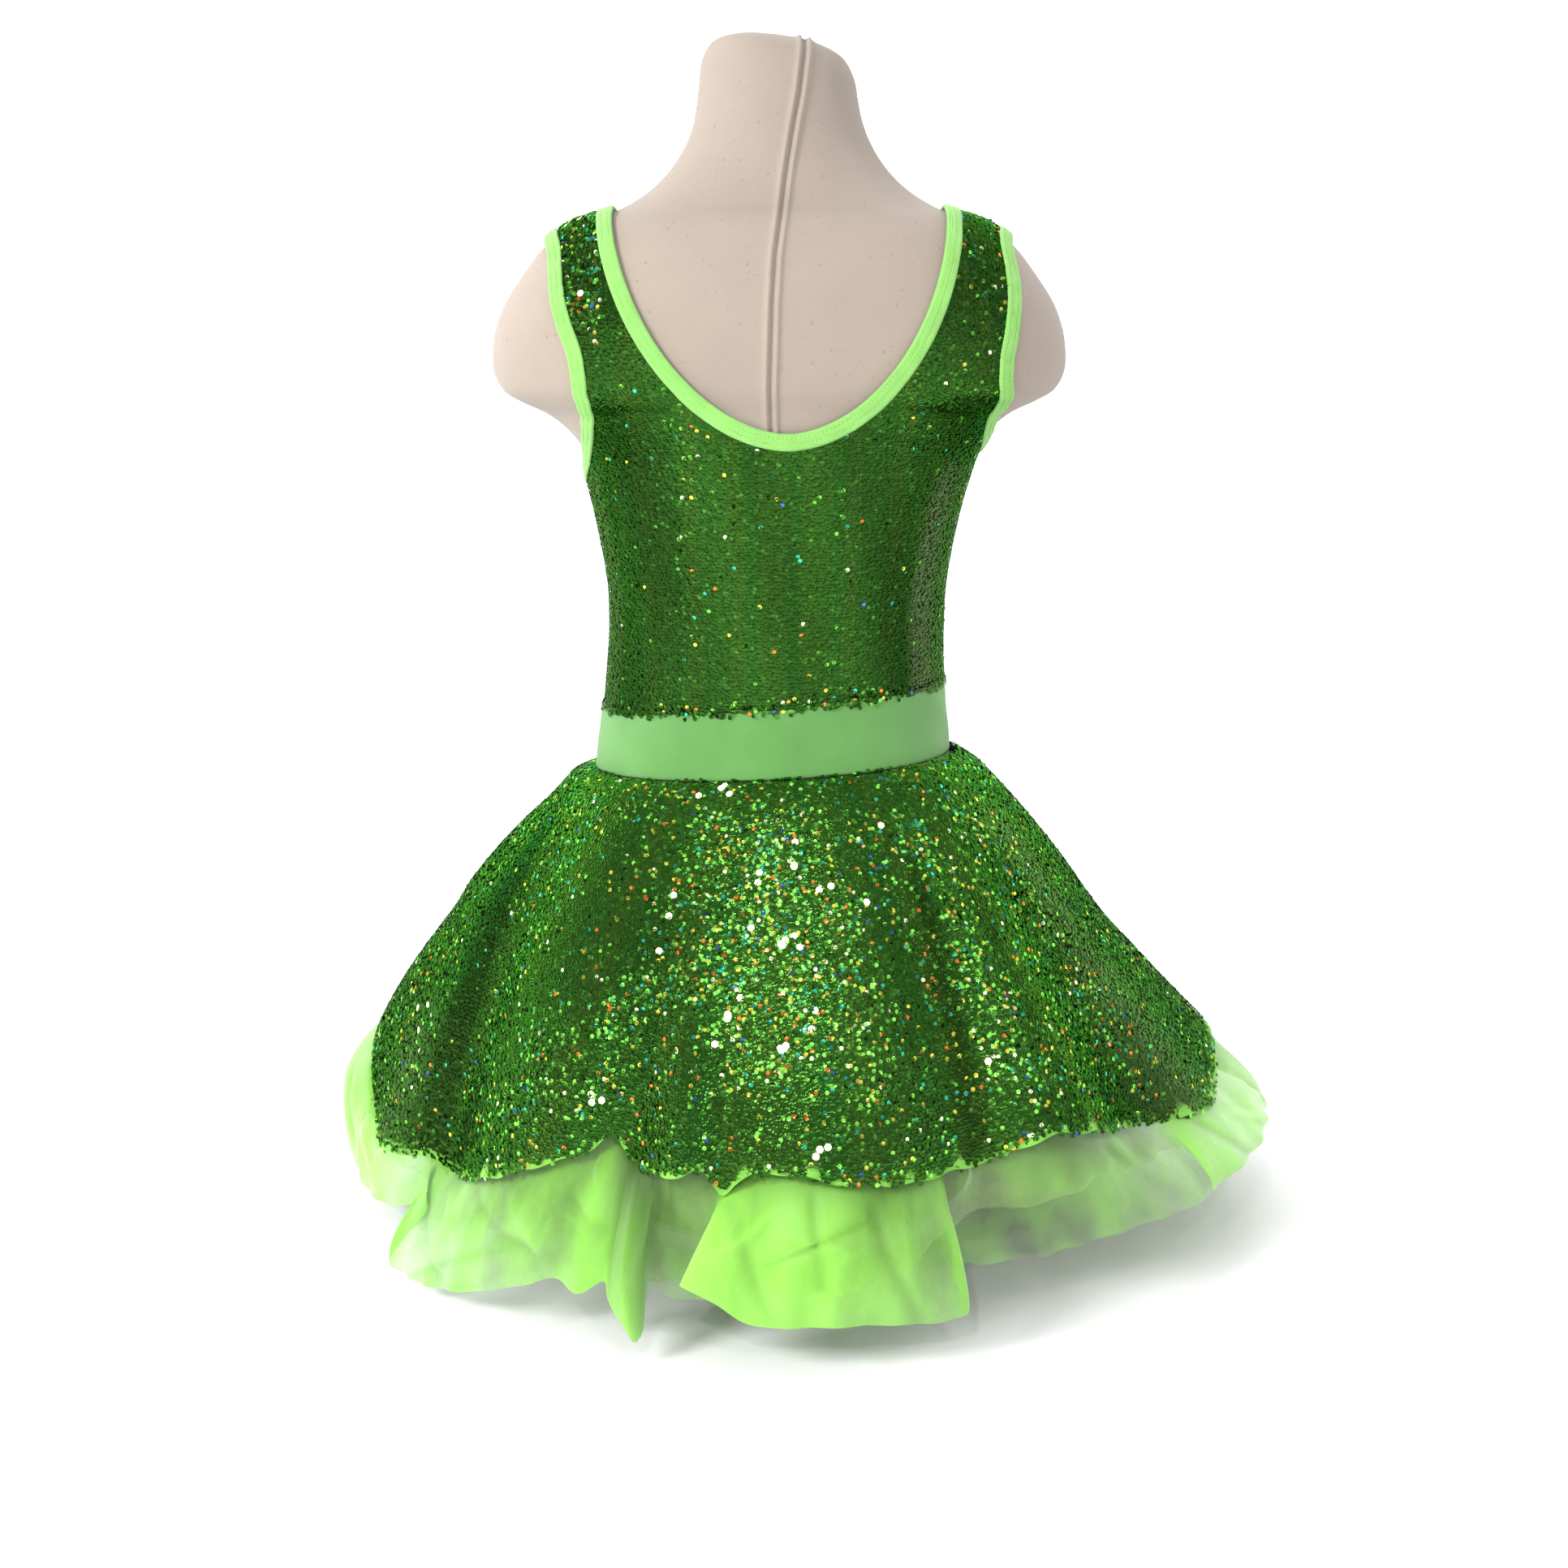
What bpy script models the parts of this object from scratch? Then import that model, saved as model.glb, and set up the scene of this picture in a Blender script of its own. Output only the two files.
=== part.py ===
"""A child's skirted sequin leotard on a dress form, in metres, +Z up.

The garment's back faces -Y and its right-hand side, as worn, is +X. The origin is the middle of
the underside of the stand's base. Cloth is a wall between an inner and an outer surface, and
every cloth surface starts from the form that it is worn on.
"""

import math

import bmesh
import bpy
import numpy as np

# Driving dimensions
SEAM_GAP = 0.0003          # between two pieces that are sewn together
SEQUIN_CLOTH = 0.0016      # wall of the sequin cloth
ORGANZA = 0.0010           # wall of the petticoat layers
BRIEF_CLOTH = 0.0010       # wall of the brief
BAND_CLOTH = 0.0020        # wall of the waistband
BODICE_OUT = 0.0012        # bodice and waistband, inner face from the form
BRIEF_OUT = 0.0016         # brief, inner face from the form
SKIRT_OUT = 0.0030         # skirt, inner face from the form at the waist seam
SKIRT_BELOW = 0.0023       # inner face of the skirt below the waistband's foot at the seam
BINDING_WIDTH = 0.0092     # folded tape at the neck and armholes
BINDING_THICK = 0.0026
BINDING_OUT = 0.0016       # bindings, inner face from the form, where the tape spans a hollow
BAND_TOP = 0.3030          # height of the waistband's upper edge at the centre
BAND_TOP_RISE = 0.077      # how much it rises for each metre towards +X
BAND_FOOT = 0.2650         # height of the waist seam at the centre
BAND_FOOT_RISE = 0.046
NECK_TOP = 0.5726          # height of the neck edge on the shoulder line
NECK_HALF_WIDTH = 0.0900   # of the neckline on the shoulder line
NECK_BACK_DROP = 0.1211    # from the shoulder line to the bottom of the back scoop
NECK_FRONT_DROP = 0.0560
NECK_ROUND = 1.83          # superellipse power of the scoop, 2 is a plain half ellipse
NECK_DRIFT = 0.0045        # how far the bottom of the scoop lies towards +X
FORM_BOTTOM = 0.1180       # the form's flat underside
BASE_RADIUS = 0.1150
BASE_HEIGHT = 0.0120
ROD_RADIUS = 0.0080
ROD_OFFSET = 0.0500        # of each rod from the middle, so it passes beside the brief's gusset
SKIRT_ROUNDING = 0.30      # how much a hanging hem rounds the flare's reach
SKIRT_FALL = 1.08          # power of the flare's fall, over 1 leaves the waist level
SKIRT_HANG_FALL = 0.32     # how much a hanging hem adds to it
FOLD_GROWTH = 1.4          # power at which the skirt's folds grow towards the hem
HEM_ROUNDING = 1.5         # power at which the petticoat reaches its own hem
WAVE_GROWTH = 1.2          # power at which the petticoat's waves grow
PETTICOAT_GAP = 0.0007     # between the layers where they are sewn together
PETTICOAT_EASE = 0.0040    # between the skirt and the outer layer at the skirt's hem
INNER_EASE = 0.0160        # between the two petticoat layers at the hem
INNER_WAVE = 0.0025        # half the depth of the inner layer's slack waves
INNER_WAVES = 17           # how many of them there are all round
EDGE_GAP = 0.0009          # between a binding and the cloth beside it
BINDING_SQUARE = 0.7       # how square the tape's section is, 1 is an ellipse
BASE_BEVEL = 0.0020

# The bare form, a row for each level section
# height, half width, half depth, centre towards the front, superellipse power
FORM = (
    (0.1180, 0.0660, 0.0520, 0.002, 2.1),
    (0.1205, 0.0800, 0.0640, 0.002, 2.1),
    (0.1270, 0.0920, 0.0745, 0.002, 2.1),
    (0.1390, 0.1015, 0.0830, 0.002, 2.1),
    (0.1600, 0.1080, 0.0885, 0.002, 2.1),
    (0.1850, 0.1080, 0.0890, 0.001, 2.1),
    (0.2200, 0.1035, 0.0865, 0.000, 2.1),
    (0.2600, 0.0965, 0.0800, 0.000, 2.1),
    (0.3000, 0.0925, 0.0755, 0.001, 2.1),
    (0.3350, 0.0912, 0.0745, 0.002, 2.1),
    (0.3650, 0.0925, 0.0755, 0.002, 2.1),
    (0.3950, 0.0975, 0.0770, 0.002, 2.1),
    (0.4240, 0.1050, 0.0785, 0.002, 2.1),
    (0.4430, 0.1120, 0.0790, 0.001, 2.1),
    (0.4530, 0.1200, 0.0785, 0.000, 2.1),
    (0.4615, 0.1310, 0.0780, 0.000, 2.1),
    (0.4680, 0.1450, 0.0770, 0.000, 2.15),
    (0.4740, 0.1550, 0.0760, 0.000, 2.2),
    (0.4840, 0.1605, 0.0750, 0.000, 2.2),
    (0.4960, 0.1610, 0.0740, 0.000, 2.2),
    (0.5170, 0.1560, 0.0705, 0.000, 2.2),
    (0.5370, 0.1440, 0.0660, 0.001, 2.1),
    (0.5556, 0.1285, 0.0600, 0.002, 2.0),
    (0.5640, 0.1165, 0.0560, 0.003, 2.0),
    (0.5726, 0.0905, 0.0510, 0.004, 2.0),
    (0.5860, 0.0690, 0.0480, 0.005, 2.0),
    (0.6010, 0.0560, 0.0455, 0.007, 2.0),
    (0.6190, 0.0475, 0.0430, 0.009, 2.0),
    (0.6350, 0.0445, 0.0415, 0.011, 2.0),
    (0.6500, 0.0420, 0.0400, 0.012, 2.0),
    (0.6585, 0.0370, 0.0355, 0.012, 2.0),
    (0.6635, 0.0270, 0.0260, 0.012, 2.0),
    (0.6655, 0.0140, 0.0135, 0.012, 2.0),
)
NECK_TILT = -0.128         # slope of the neck's top towards +X
NECK_TILT_FROM = 0.6190    # height where that slope starts
NECK_TILT_FULL = 0.6500

# The armhole seen from the side, from the shoulder down to the underarm: height, depth
ARMHOLE = (
    (0.5556, 0.0000),
    (0.5470, 0.0230),
    (0.5280, 0.0400),
    (0.5050, 0.0510),
    (0.4815, 0.0545),
    (0.4690, 0.0510),
    (0.4570, 0.0400),
    (0.4460, 0.0210),
    (0.4350, 0.0000),
)
ARMHOLE_FRONT = 0.90       # the front half's depth beside the back half's

# The skirt's hem, a row for each direction: degrees from +X, reach from the axis, height, hang.
# Hang 0 is a straight flare and 1 is a flare that ends hanging down.
SKIRT_HEM = (
    (0, 0.2500, 0.0990, 0.0),
    (45, 0.2350, 0.0980, 0.3),
    (90, 0.2250, 0.0930, 0.4),
    (135, 0.2220, 0.0900, 0.5),
    (170, 0.2240, 0.1080, 0.8),
    (183, 0.2260, 0.1060, 1.0),
    (198, 0.2250, 0.0700, 1.0),
    (225, 0.2180, 0.0680, 0.7),
    (247, 0.2200, 0.0900, 0.5),
    (270, 0.2250, 0.0915, 0.4),
    (295, 0.2250, 0.0940, 0.3),
    (320, 0.2330, 0.0950, 0.2),
    (340, 0.2430, 0.0930, 0.0),
)

# The skirt's folds: degrees from +X, how far the fold swings out, its half width in degrees,
# and where down the skirt it starts
FOLDS = (
    (211, -0.0120, 9.0, 0.15),
    (231, 0.0070, 9.0, 0.10),
    (247, -0.0150, 6.5, 0.25),
    (258, 0.0080, 6.0, 0.30),
    (278, 0.0050, 11.0, 0.20),
    (295, -0.0120, 7.0, 0.15),
    (308, 0.0060, 8.0, 0.20),
    (326, -0.0120, 7.0, 0.10),
    (338, 0.0060, 7.0, 0.20),
    (18, -0.0090, 8.0, 0.20),
    (37, 0.0070, 9.0, 0.15),
    (57, -0.0130, 8.0, 0.20),
    (75, 0.0060, 8.0, 0.25),
    (93, -0.0110, 7.0, 0.15),
    (111, 0.0080, 9.0, 0.20),
    (130, -0.0120, 8.0, 0.15),
    (150, 0.0060, 9.0, 0.25),
    (166, -0.0080, 7.0, 0.20),
)

# The outer petticoat's hem: degrees from +X, reach from the axis, height
PETTICOAT_HEM = (
    (0, 0.2800, 0.0530),
    (40, 0.2600, 0.0480),
    (90, 0.2480, 0.0380),
    (140, 0.2480, 0.0330),
    (180, 0.2450, 0.0360),
    (205, 0.2460, 0.0300),
    (225, 0.2450, 0.0230),
    (238, 0.2430, 0.0330),
    (251, 0.2450, 0.0180),
    (260, 0.2450, 0.0280),
    (285, 0.2480, 0.0280),
    (298, 0.2500, 0.0420),
    (320, 0.2620, 0.0520),
    (340, 0.2740, 0.0520),
)

# The petticoat's own waves below the skirt: degrees from +X, swing out, half width in degrees
WAVES = (
    (188, 0.0070, 7.0),
    (203, -0.0080, 6.0),
    (219, 0.0080, 6.0),
    (236, -0.0090, 5.0),
    (250, 0.0080, 5.0),
    (261, -0.0080, 4.5),
    (278, 0.0070, 9.0),
    (299, -0.0100, 5.0),
    (312, 0.0070, 7.0),
    (330, -0.0070, 6.0),
    (346, 0.0050, 6.0),
    (14, -0.0080, 7.0),
    (30, 0.0080, 7.0),
    (47, -0.0090, 7.0),
    (66, 0.0080, 7.0),
    (84, -0.0090, 7.0),
    (102, 0.0080, 7.0),
    (120, -0.0090, 7.0),
    (139, 0.0080, 7.0),
    (158, -0.0080, 7.0),
)

# The brief's rows: height of the ray's start, tilt of the ray below level, half angle across
BRIEF = (
    (0.2640, 0.0, 90.0),
    (0.2450, 0.0, 90.0),
    (0.2280, 0.0, 90.0),
    (0.2120, 0.0, 86.0),
    (0.2000, 8.0, 74.0),
    (0.1900, 18.0, 61.0),
    (0.1820, 29.0, 50.0),
    (0.1760, 41.0, 41.0),
    (0.1720, 54.0, 33.0),
    (0.1700, 67.0, 28.0),
    (0.1700, 79.0, 25.0),
    (0.1700, 90.0, 24.0),
)

NEAREST_TRIES = 8          # steps towards the form's nearest point
SLOPE_STEP = 1e-4          # small step for reading a surface's directions
RAY_REACH = 0.25           # further than any point of the form from its axis
RAY_TRIES = 40             # halvings of a ray's length where it leaves the form
BRIEF_LEVEL_ROW = 3        # the row from which the brief no longer follows the waist's slope
BRIEF_STEP = 0.02          # small step for reading the brief's directions
BRIEF_TOP_REACH = 0.100    # the brief's half width at the waist seam

# Facets
FORM_SIDES = 32
FORM_STEP = 0.024          # most between two of the form's rings
STRAP_ROWS = 12
STRAP_COLUMNS = 9
BODY_ROWS = 6
BINDING_SIDES = 8
BAND_ROWS = 3
FLARE_COLUMNS = 36         # in each half of the skirt and the petticoats
SKIRT_ROWS = 7
ROW_CROWDING = 1.5         # how much closer the rows are near the waist, 1 is even
HOOP_ROWS = 2              # of the petticoats beyond the skirt's hem
BAND_SIDES = 40
BASE_SIDES = 36
ROD_SIDES = 16
BRIEF_COLUMNS = 14
BRIEF_ROWS = 19

# Finishes: base colour, roughness, metallic
FINISHES = {
    "sequin_cloth": ((0.045, 0.170, 0.035), 0.32, 0.45),
    "lime_binding": ((0.450, 0.850, 0.180), 0.55, 0.00),
    "lime_band": ((0.230, 0.640, 0.190), 0.50, 0.00),
    "lime_organza": ((0.420, 0.900, 0.110), 0.45, 0.00),
    "lime_lining": ((0.300, 0.720, 0.150), 0.60, 0.00),
    "form_jersey": ((0.680, 0.570, 0.480), 0.85, 0.00),
    "white_metal": ((0.780, 0.780, 0.760), 0.35, 0.20),
}


def clear_scene():
    for thing in list(bpy.data.objects):
        bpy.data.objects.remove(thing)


def finish(name):
    colour, roughness, metallic = FINISHES[name]
    made = bpy.data.materials.new(name)
    made.use_nodes = True
    shader = made.node_tree.nodes["Principled BSDF"]
    shader.inputs["Base Color"].default_value = (*colour, 1.0)
    shader.inputs["Roughness"].default_value = roughness
    shader.inputs["Metallic"].default_value = metallic
    return made


def curve_through(knots, values, at):
    """Smooth curve through rows of values, read at the given knots."""
    knots = np.asarray(knots, float)
    values = np.asarray(values, float)
    at = np.clip(np.asarray(at, float), knots[0], knots[-1])
    slopes = np.gradient(values, knots, axis=0)
    row = np.clip(np.searchsorted(knots, at, side="right") - 1, 0, len(knots) - 2)
    step = knots[row + 1] - knots[row]
    t = (at - knots[row]) / step
    t, step = t[..., None], step[..., None]
    start = values[row] * (1 + 2 * t) * (1 - t) ** 2 + slopes[row] * step * t * (1 - t) ** 2
    end = values[row + 1] * t ** 2 * (3 - 2 * t) - slopes[row + 1] * step * t ** 2 * (1 - t)
    return start + end


def around(rows, degrees):
    """The columns of a table of directions, read all the way round."""
    rows = np.array(rows, float)
    rows = rows[np.argsort(rows[:, 0])]
    before, after = rows.copy(), rows.copy()
    before[:, 0] -= 360
    after[:, 0] += 360
    rows = np.vstack([before, rows, after])
    return curve_through(rows[:, 0], rows[:, 1:], np.mod(degrees, 360))


FORM_ROWS = np.array(FORM, float)
FORM_RUN = np.concatenate(
    [[0.0], np.cumsum(np.hypot(np.diff(FORM_ROWS[:, 0]), np.diff(FORM_ROWS[:, 1])))]
)


def section(run):
    """Height, half width, half depth, centre and power at a length along the form's side."""
    return np.moveaxis(curve_through(FORM_RUN, FORM_ROWS, run), -1, 0)


RUN_STEPS = np.linspace(0.0, FORM_RUN[-1], 4000)
HEIGHT_STEPS = np.maximum.accumulate(section(RUN_STEPS)[0])


def run_at(height):
    return np.interp(height, HEIGHT_STEPS, RUN_STEPS)


def bare_form(turn, run):
    """A point on the form: turn is the angle from +X in radians, run the length up its side."""
    height, width, depth, centre, power = section(run)
    c, s = np.cos(turn), np.sin(turn)
    reach = (np.abs(c / width) ** power + np.abs(s / depth) ** power) ** (-1 / power)
    x, y = reach * c, reach * s + centre
    share = np.clip((height - NECK_TILT_FROM) / (NECK_TILT_FULL - NECK_TILT_FROM), 0, 1)
    return np.stack([x, y, height + NECK_TILT * share * x], axis=-1)


def unit(v):
    return v / np.maximum(np.linalg.norm(v, axis=-1, keepdims=True), 1e-12)


def form_normal(turn, run):
    """The form's outward direction."""
    turn, run = np.broadcast_arrays(np.asarray(turn, float), np.asarray(run, float))
    step = SLOPE_STEP
    along = bare_form(turn + step, run) - bare_form(turn - step, run)
    up = bare_form(turn, run + step) - bare_form(turn, run - step)
    return unit(np.cross(along, up))


def on_form(turn, run, out=0.0):
    """A point at a distance out from the form."""
    turn, run = np.broadcast_arrays(np.asarray(turn, float), np.asarray(run, float))
    return bare_form(turn, run) + form_normal(turn, run) * np.asarray(out)[..., None]


def to_form(points):
    """The turn and run of the form's points nearest to the ones given."""
    run = run_at(points[..., 2])
    turn = np.arctan2(points[..., 1] - section(run)[3], points[..., 0])
    step = SLOPE_STEP
    for _ in range(NEAREST_TRIES):
        off = points - bare_form(turn, run)
        along = (bare_form(turn + step, run) - bare_form(turn - step, run)) / (2 * step)
        up = (bare_form(turn, run + step) - bare_form(turn, run - step)) / (2 * step)
        aa, bb, ab = (along ** 2).sum(-1), (up ** 2).sum(-1), (along * up).sum(-1)
        oa, ob = (off * along).sum(-1), (off * up).sum(-1)
        spread = aa * bb - ab ** 2
        turn = turn + (oa * bb - ob * ab) / spread
        run = run + (ob * aa - oa * ab) / spread
    return turn, run


def neck_half(drop, side):
    """Half of the neck edge on the form, from the +X shoulder to the -X one; side -1 is the back."""
    t = np.linspace(0.0, math.pi, 1201)
    across = np.sign(np.cos(t)) * np.abs(np.cos(t)) ** (2 / NECK_ROUND)
    down = np.abs(np.sin(t)) ** (2 / NECK_ROUND)
    x = across * NECK_HALF_WIDTH + NECK_DRIFT * down * drop / NECK_BACK_DROP
    height = NECK_TOP - drop * down
    _, width, depth, centre, power = section(run_at(height))
    share = np.clip(1 - np.abs(x / width) ** power, 0, None)
    return np.stack([x, centre + side * depth * share ** (1 / power), height], axis=1)


def armhole_half(side, front):
    """Half of an armhole's edge, from the shoulder to the underarm; side 1 is +X."""
    rows = np.array(ARMHOLE)
    spread = np.concatenate([[0], np.cumsum(np.hypot(*np.diff(rows, axis=0).T))])
    height, depth = curve_through(spread, rows, np.linspace(0, spread[-1], 400)).T
    depth = ARMHOLE_FRONT * depth if front else -depth
    _, width, half, centre, power = section(run_at(height))
    x = width * np.clip(1 - np.abs(depth / half) ** power, 0, None) ** (1 / power)
    return np.stack([side * x, depth + centre, height], axis=1)


def spaced(points, parts):
    """A line cut into equal parts."""
    length = np.concatenate([[0.0], np.cumsum(np.linalg.norm(np.diff(points, axis=0), axis=1))])
    at = np.linspace(0.0, length[-1], parts + 1)
    return np.stack([np.interp(at, length, points[:, k]) for k in range(3)], axis=1)


class Edge:
    """A bound edge: a loop of points on the form, down one half and back along the other."""

    def __init__(self, back, front, parts):
        """Both halves run from the same first point to the same last one."""
        self.parts = parts
        self.points = np.vstack([spaced(back, parts)[:-1], spaced(front, parts)[:0:-1]])
        ahead = unit(np.roll(self.points, -1, axis=0) - np.roll(self.points, 1, axis=0))
        for seam in (0, parts):
            ahead[seam] = (0.0, np.sign(ahead[seam, 1]), 0.0)
        turn, run = to_form(self.points)
        self.side = unit(np.cross(form_normal(turn, run), ahead))

    def away_from(self, middle):
        """Makes the sideways directions point away from a place."""
        if np.sum(self.side * (self.points - middle), axis=1).mean() < 0:
            self.side = -self.side
        return self

    def moved(self, distance):
        """The turn and run of the edge moved sideways over the form."""
        turn, run = to_form(self.points + self.side * distance)
        for seam in (0, self.parts):
            turn[seam] = 0.0 if self.points[seam, 0] > 0 else math.pi
        return turn, run


def neck_line():
    back = neck_half(NECK_BACK_DROP, -1)
    front = neck_half(NECK_FRONT_DROP, 1)
    return Edge(back, front, 2 * STRAP_ROWS).away_from(np.array([0.0, 0.0, NECK_TOP + 0.2]))


def armhole_line(side):
    edge = Edge(armhole_half(side, False), armhole_half(side, True), STRAP_ROWS)
    return edge.away_from(edge.points.mean(axis=0) + np.array([side * 0.2, 0.0, 0.0]))


def add_mesh(name, corners, faces, look, smooth=True):
    mesh = bpy.data.meshes.new(name)
    mesh.from_pydata([tuple(map(float, p)) for p in corners], [], faces)
    work = bmesh.new()
    work.from_mesh(mesh)
    bmesh.ops.recalc_face_normals(work, faces=work.faces)
    work.to_mesh(mesh)
    work.free()
    if smooth:
        mesh.shade_smooth()
        mesh.set_sharp_from_angle(angle=math.radians(50))
    mesh.materials.append(look)
    made = bpy.data.objects.new(name, mesh)
    bpy.context.scene.collection.objects.link(made)
    return made


def cloth(name, patches, look, shift=(0.0, 0.0, 0.0)):
    """A cloth wall from patches, each an inner and an outer grid of points."""
    corners, faces, number, edges = [], [], {}, {}

    def corner(inner, outer):
        key = tuple(np.round(inner, 6))
        if key not in number:
            number[key] = len(corners)
            corners.append(inner + shift)
            corners.append(outer + shift)
        return number[key]

    for inner, outer in patches:
        rows, columns = inner.shape[:2]
        grid = [[corner(inner[r, c], outer[r, c]) for c in range(columns)] for r in range(rows)]
        for r in range(rows - 1):
            for c in range(columns - 1):
                a, b = grid[r][c], grid[r][c + 1]
                d, e = grid[r + 1][c], grid[r + 1][c + 1]
                for three in ((a, b, e), (a, e, d)):
                    if len(set(three)) < 3:
                        continue
                    faces.append(tuple(k + 1 for k in three))
                    faces.append(three[::-1])
                    for k in range(3):
                        edge = frozenset((three[k], three[(k + 1) % 3]))
                        edges[edge] = edges.get(edge, 0) + 1
    for edge, uses in edges.items():
        if uses == 1:
            a, b = edge
            faces.append((b + 1, a + 1, a, b))
    return add_mesh(name, corners, faces, look)


def build_form(look):
    runs = np.unique(np.concatenate([
        np.linspace(low, high, math.ceil((high - low) / FORM_STEP) + 1)
        for low, high in zip(FORM_RUN[:-1], FORM_RUN[1:])
    ]).round(6))
    turns = np.arange(FORM_SIDES) * 2 * math.pi / FORM_SIDES
    grid = bare_form(turns[None, :], runs[:, None])
    corners = list(grid.reshape(-1, 3))
    faces = []
    for r in range(len(runs) - 1):
        for c in range(FORM_SIDES):
            d = (c + 1) % FORM_SIDES
            low, high = r * FORM_SIDES, (r + 1) * FORM_SIDES
            faces.append((low + c, low + d, high + d, high + c))
    faces.append(tuple(range(FORM_SIDES))[::-1])
    top = (len(runs) - 1) * FORM_SIDES
    faces.append(tuple(range(top, top + FORM_SIDES)))
    return add_mesh("form_torso", corners, faces, look)


def from_middle(turn, back):
    """The angle from the back or front middle line, -90 to 90 degrees in radians."""
    middle = -math.pi / 2 if back else math.pi / 2
    return (turn - middle + math.pi) % (2 * math.pi) - math.pi


def part_of(values, first, last):
    """Items of a loop from one place to another, both included, in either direction."""
    step = 1 if last >= first else -1
    return values[np.arange(first, last + step, step) % len(values)]


def ruled(first, last, count):
    """Rows between two lines of turn and run."""
    share = np.linspace(0, 1, count + 1)[:, None, None]
    return np.array(first)[None] * (1 - share) + np.array(last)[None] * share


def level(height, rise, turn):
    """The run on the form of a line that is level but for its rise towards +X."""
    x = bare_form(turn, run_at(height) * np.ones_like(turn))[..., 0]
    return run_at(height + rise * x)


def build_bodice(name, back, looks):
    """Two straps and the body below them, as one wall."""
    clear = BINDING_WIDTH + EDGE_GAP
    neck = np.stack(neck_line().moved(clear), axis=1)
    first, last = (0, 2 * STRAP_ROWS) if back else (4 * STRAP_ROWS, 2 * STRAP_ROWS)
    neck = part_of(neck, first, last)
    neck[:, 0] = from_middle(neck[:, 0], back)
    grids, tops = [], []
    for side, inner in ((-1, neck[:STRAP_ROWS - 1:-1]), (1, neck[:STRAP_ROWS + 1])):
        arm = np.stack(armhole_line(side).moved(clear), axis=1)
        first, last = (0, STRAP_ROWS) if back else (2 * STRAP_ROWS, STRAP_ROWS)
        outer = part_of(arm, first, last)
        outer[:, 0] = from_middle(outer[:, 0], back)
        for line in (outer, inner):
            line[0, 0] = math.copysign(math.pi / 2, line[1, 0])
        outer[-1, 0] = math.copysign(math.pi / 2, outer[-2, 0])
        strap = ruled(outer, inner, STRAP_COLUMNS)
        grids.append(strap)
        tops.append(strap[:, -1])
    top = np.vstack([tops[0], tops[1][-2::-1]])
    ends = top[0, 0], top[-1, 0]
    across = np.linspace(ends[0], ends[1], len(top))
    middle = -math.pi / 2 if back else math.pi / 2
    foot = level(BAND_TOP + SEAM_GAP, BAND_TOP_RISE, across + middle)
    grids.append(ruled(top, np.stack([across, foot], axis=1), BODY_ROWS))
    patches = []
    for grid in grids:
        turn, run = grid[..., 0] + middle, grid[..., 1]
        patches.append((
            on_form(turn, run, BODICE_OUT),
            on_form(turn, run, BODICE_OUT + SEQUIN_CLOTH),
        ))
    shift = (0.0, SEAM_GAP * (-0.5 if back else 0.5), 0.0)
    return cloth(name, patches, looks["sequin_cloth"], shift)


def build_binding(name, edge, looks):
    """A folded tape with a flat round section, swept along a bound edge."""
    turn, run = edge.moved(BINDING_WIDTH / 2)
    middle = on_form(turn, run, BINDING_OUT + BINDING_THICK / 2)
    normal = form_normal(turn, run)
    side = unit(np.cross(normal, np.cross(edge.side, normal)))
    angles = (np.arange(BINDING_SIDES) + 0.5) * 2 * math.pi / BINDING_SIDES
    across = np.sign(np.cos(angles)) * np.abs(np.cos(angles)) ** BINDING_SQUARE
    out = np.sign(np.sin(angles)) * np.abs(np.sin(angles)) ** BINDING_SQUARE
    across = across / across.max() * BINDING_WIDTH / 2
    out = out / out.max() * BINDING_THICK / 2
    rings = (
        middle[:, None]
        + side[:, None] * across[None, :, None]
        + normal[:, None] * out[None, :, None]
    )
    count = len(rings)
    corners = list(rings.reshape(-1, 3))
    faces = []
    for r in range(count):
        for c in range(BINDING_SIDES):
            a, b = r * BINDING_SIDES, (r + 1) % count * BINDING_SIDES
            d = (c + 1) % BINDING_SIDES
            faces.append((a + c, a + d, b + d, b + c))
    return add_mesh(name, corners, faces, looks["lime_binding"])


def build_waistband(looks):
    turn = np.linspace(0, 2 * math.pi, BAND_SIDES + 1)
    low = level(BAND_FOOT, BAND_FOOT_RISE, turn)
    high = level(BAND_TOP, BAND_TOP_RISE, turn)
    grid = ruled(np.stack([turn, low], 1), np.stack([turn, high], 1), BAND_ROWS)
    turn, run = grid[..., 0], grid[..., 1]
    patch = on_form(turn, run, BODICE_OUT), on_form(turn, run, BODICE_OUT + BAND_CLOTH)
    return cloth("waistband", [patch], looks["lime_band"])


def bumps(rows, turn, weight):
    """The sum of a table's folds at each direction."""
    total = np.zeros(np.broadcast(turn, weight(rows[0])).shape)
    for row in rows:
        off = (np.degrees(turn) - row[0] + 180) % 360 - 180
        total += row[1] * np.exp(-(off / row[2]) ** 2) * weight(row)
    return total


def skirt_surface(turn, down):
    """The skirt's inner face; down runs from 0 at the waist seam to 1 at the hem."""
    run = level(BAND_FOOT - SKIRT_BELOW, BAND_FOOT_RISE, turn)
    start = on_form(turn, run, SKIRT_OUT)
    near = np.hypot(start[..., 0], start[..., 1])
    reach, height, hang = np.moveaxis(around(SKIRT_HEM, np.degrees(turn)), -1, 0)
    out = 1 - (1 - np.clip(down, 0, 1)) ** (1 + SKIRT_ROUNDING * hang)
    drop = np.clip(down, 0, 1) ** (SKIRT_FALL + SKIRT_HANG_FALL * hang)
    radius = near + (reach - near) * out
    radius = radius + bumps(
        FOLDS, turn, lambda row: np.clip((down - row[3]) / (1 - row[3]), 0, 1) ** FOLD_GROWTH
    )
    height = start[..., 2] + (height - start[..., 2]) * drop
    return np.stack([radius * np.cos(turn), radius * np.sin(turn), height], axis=-1)


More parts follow.
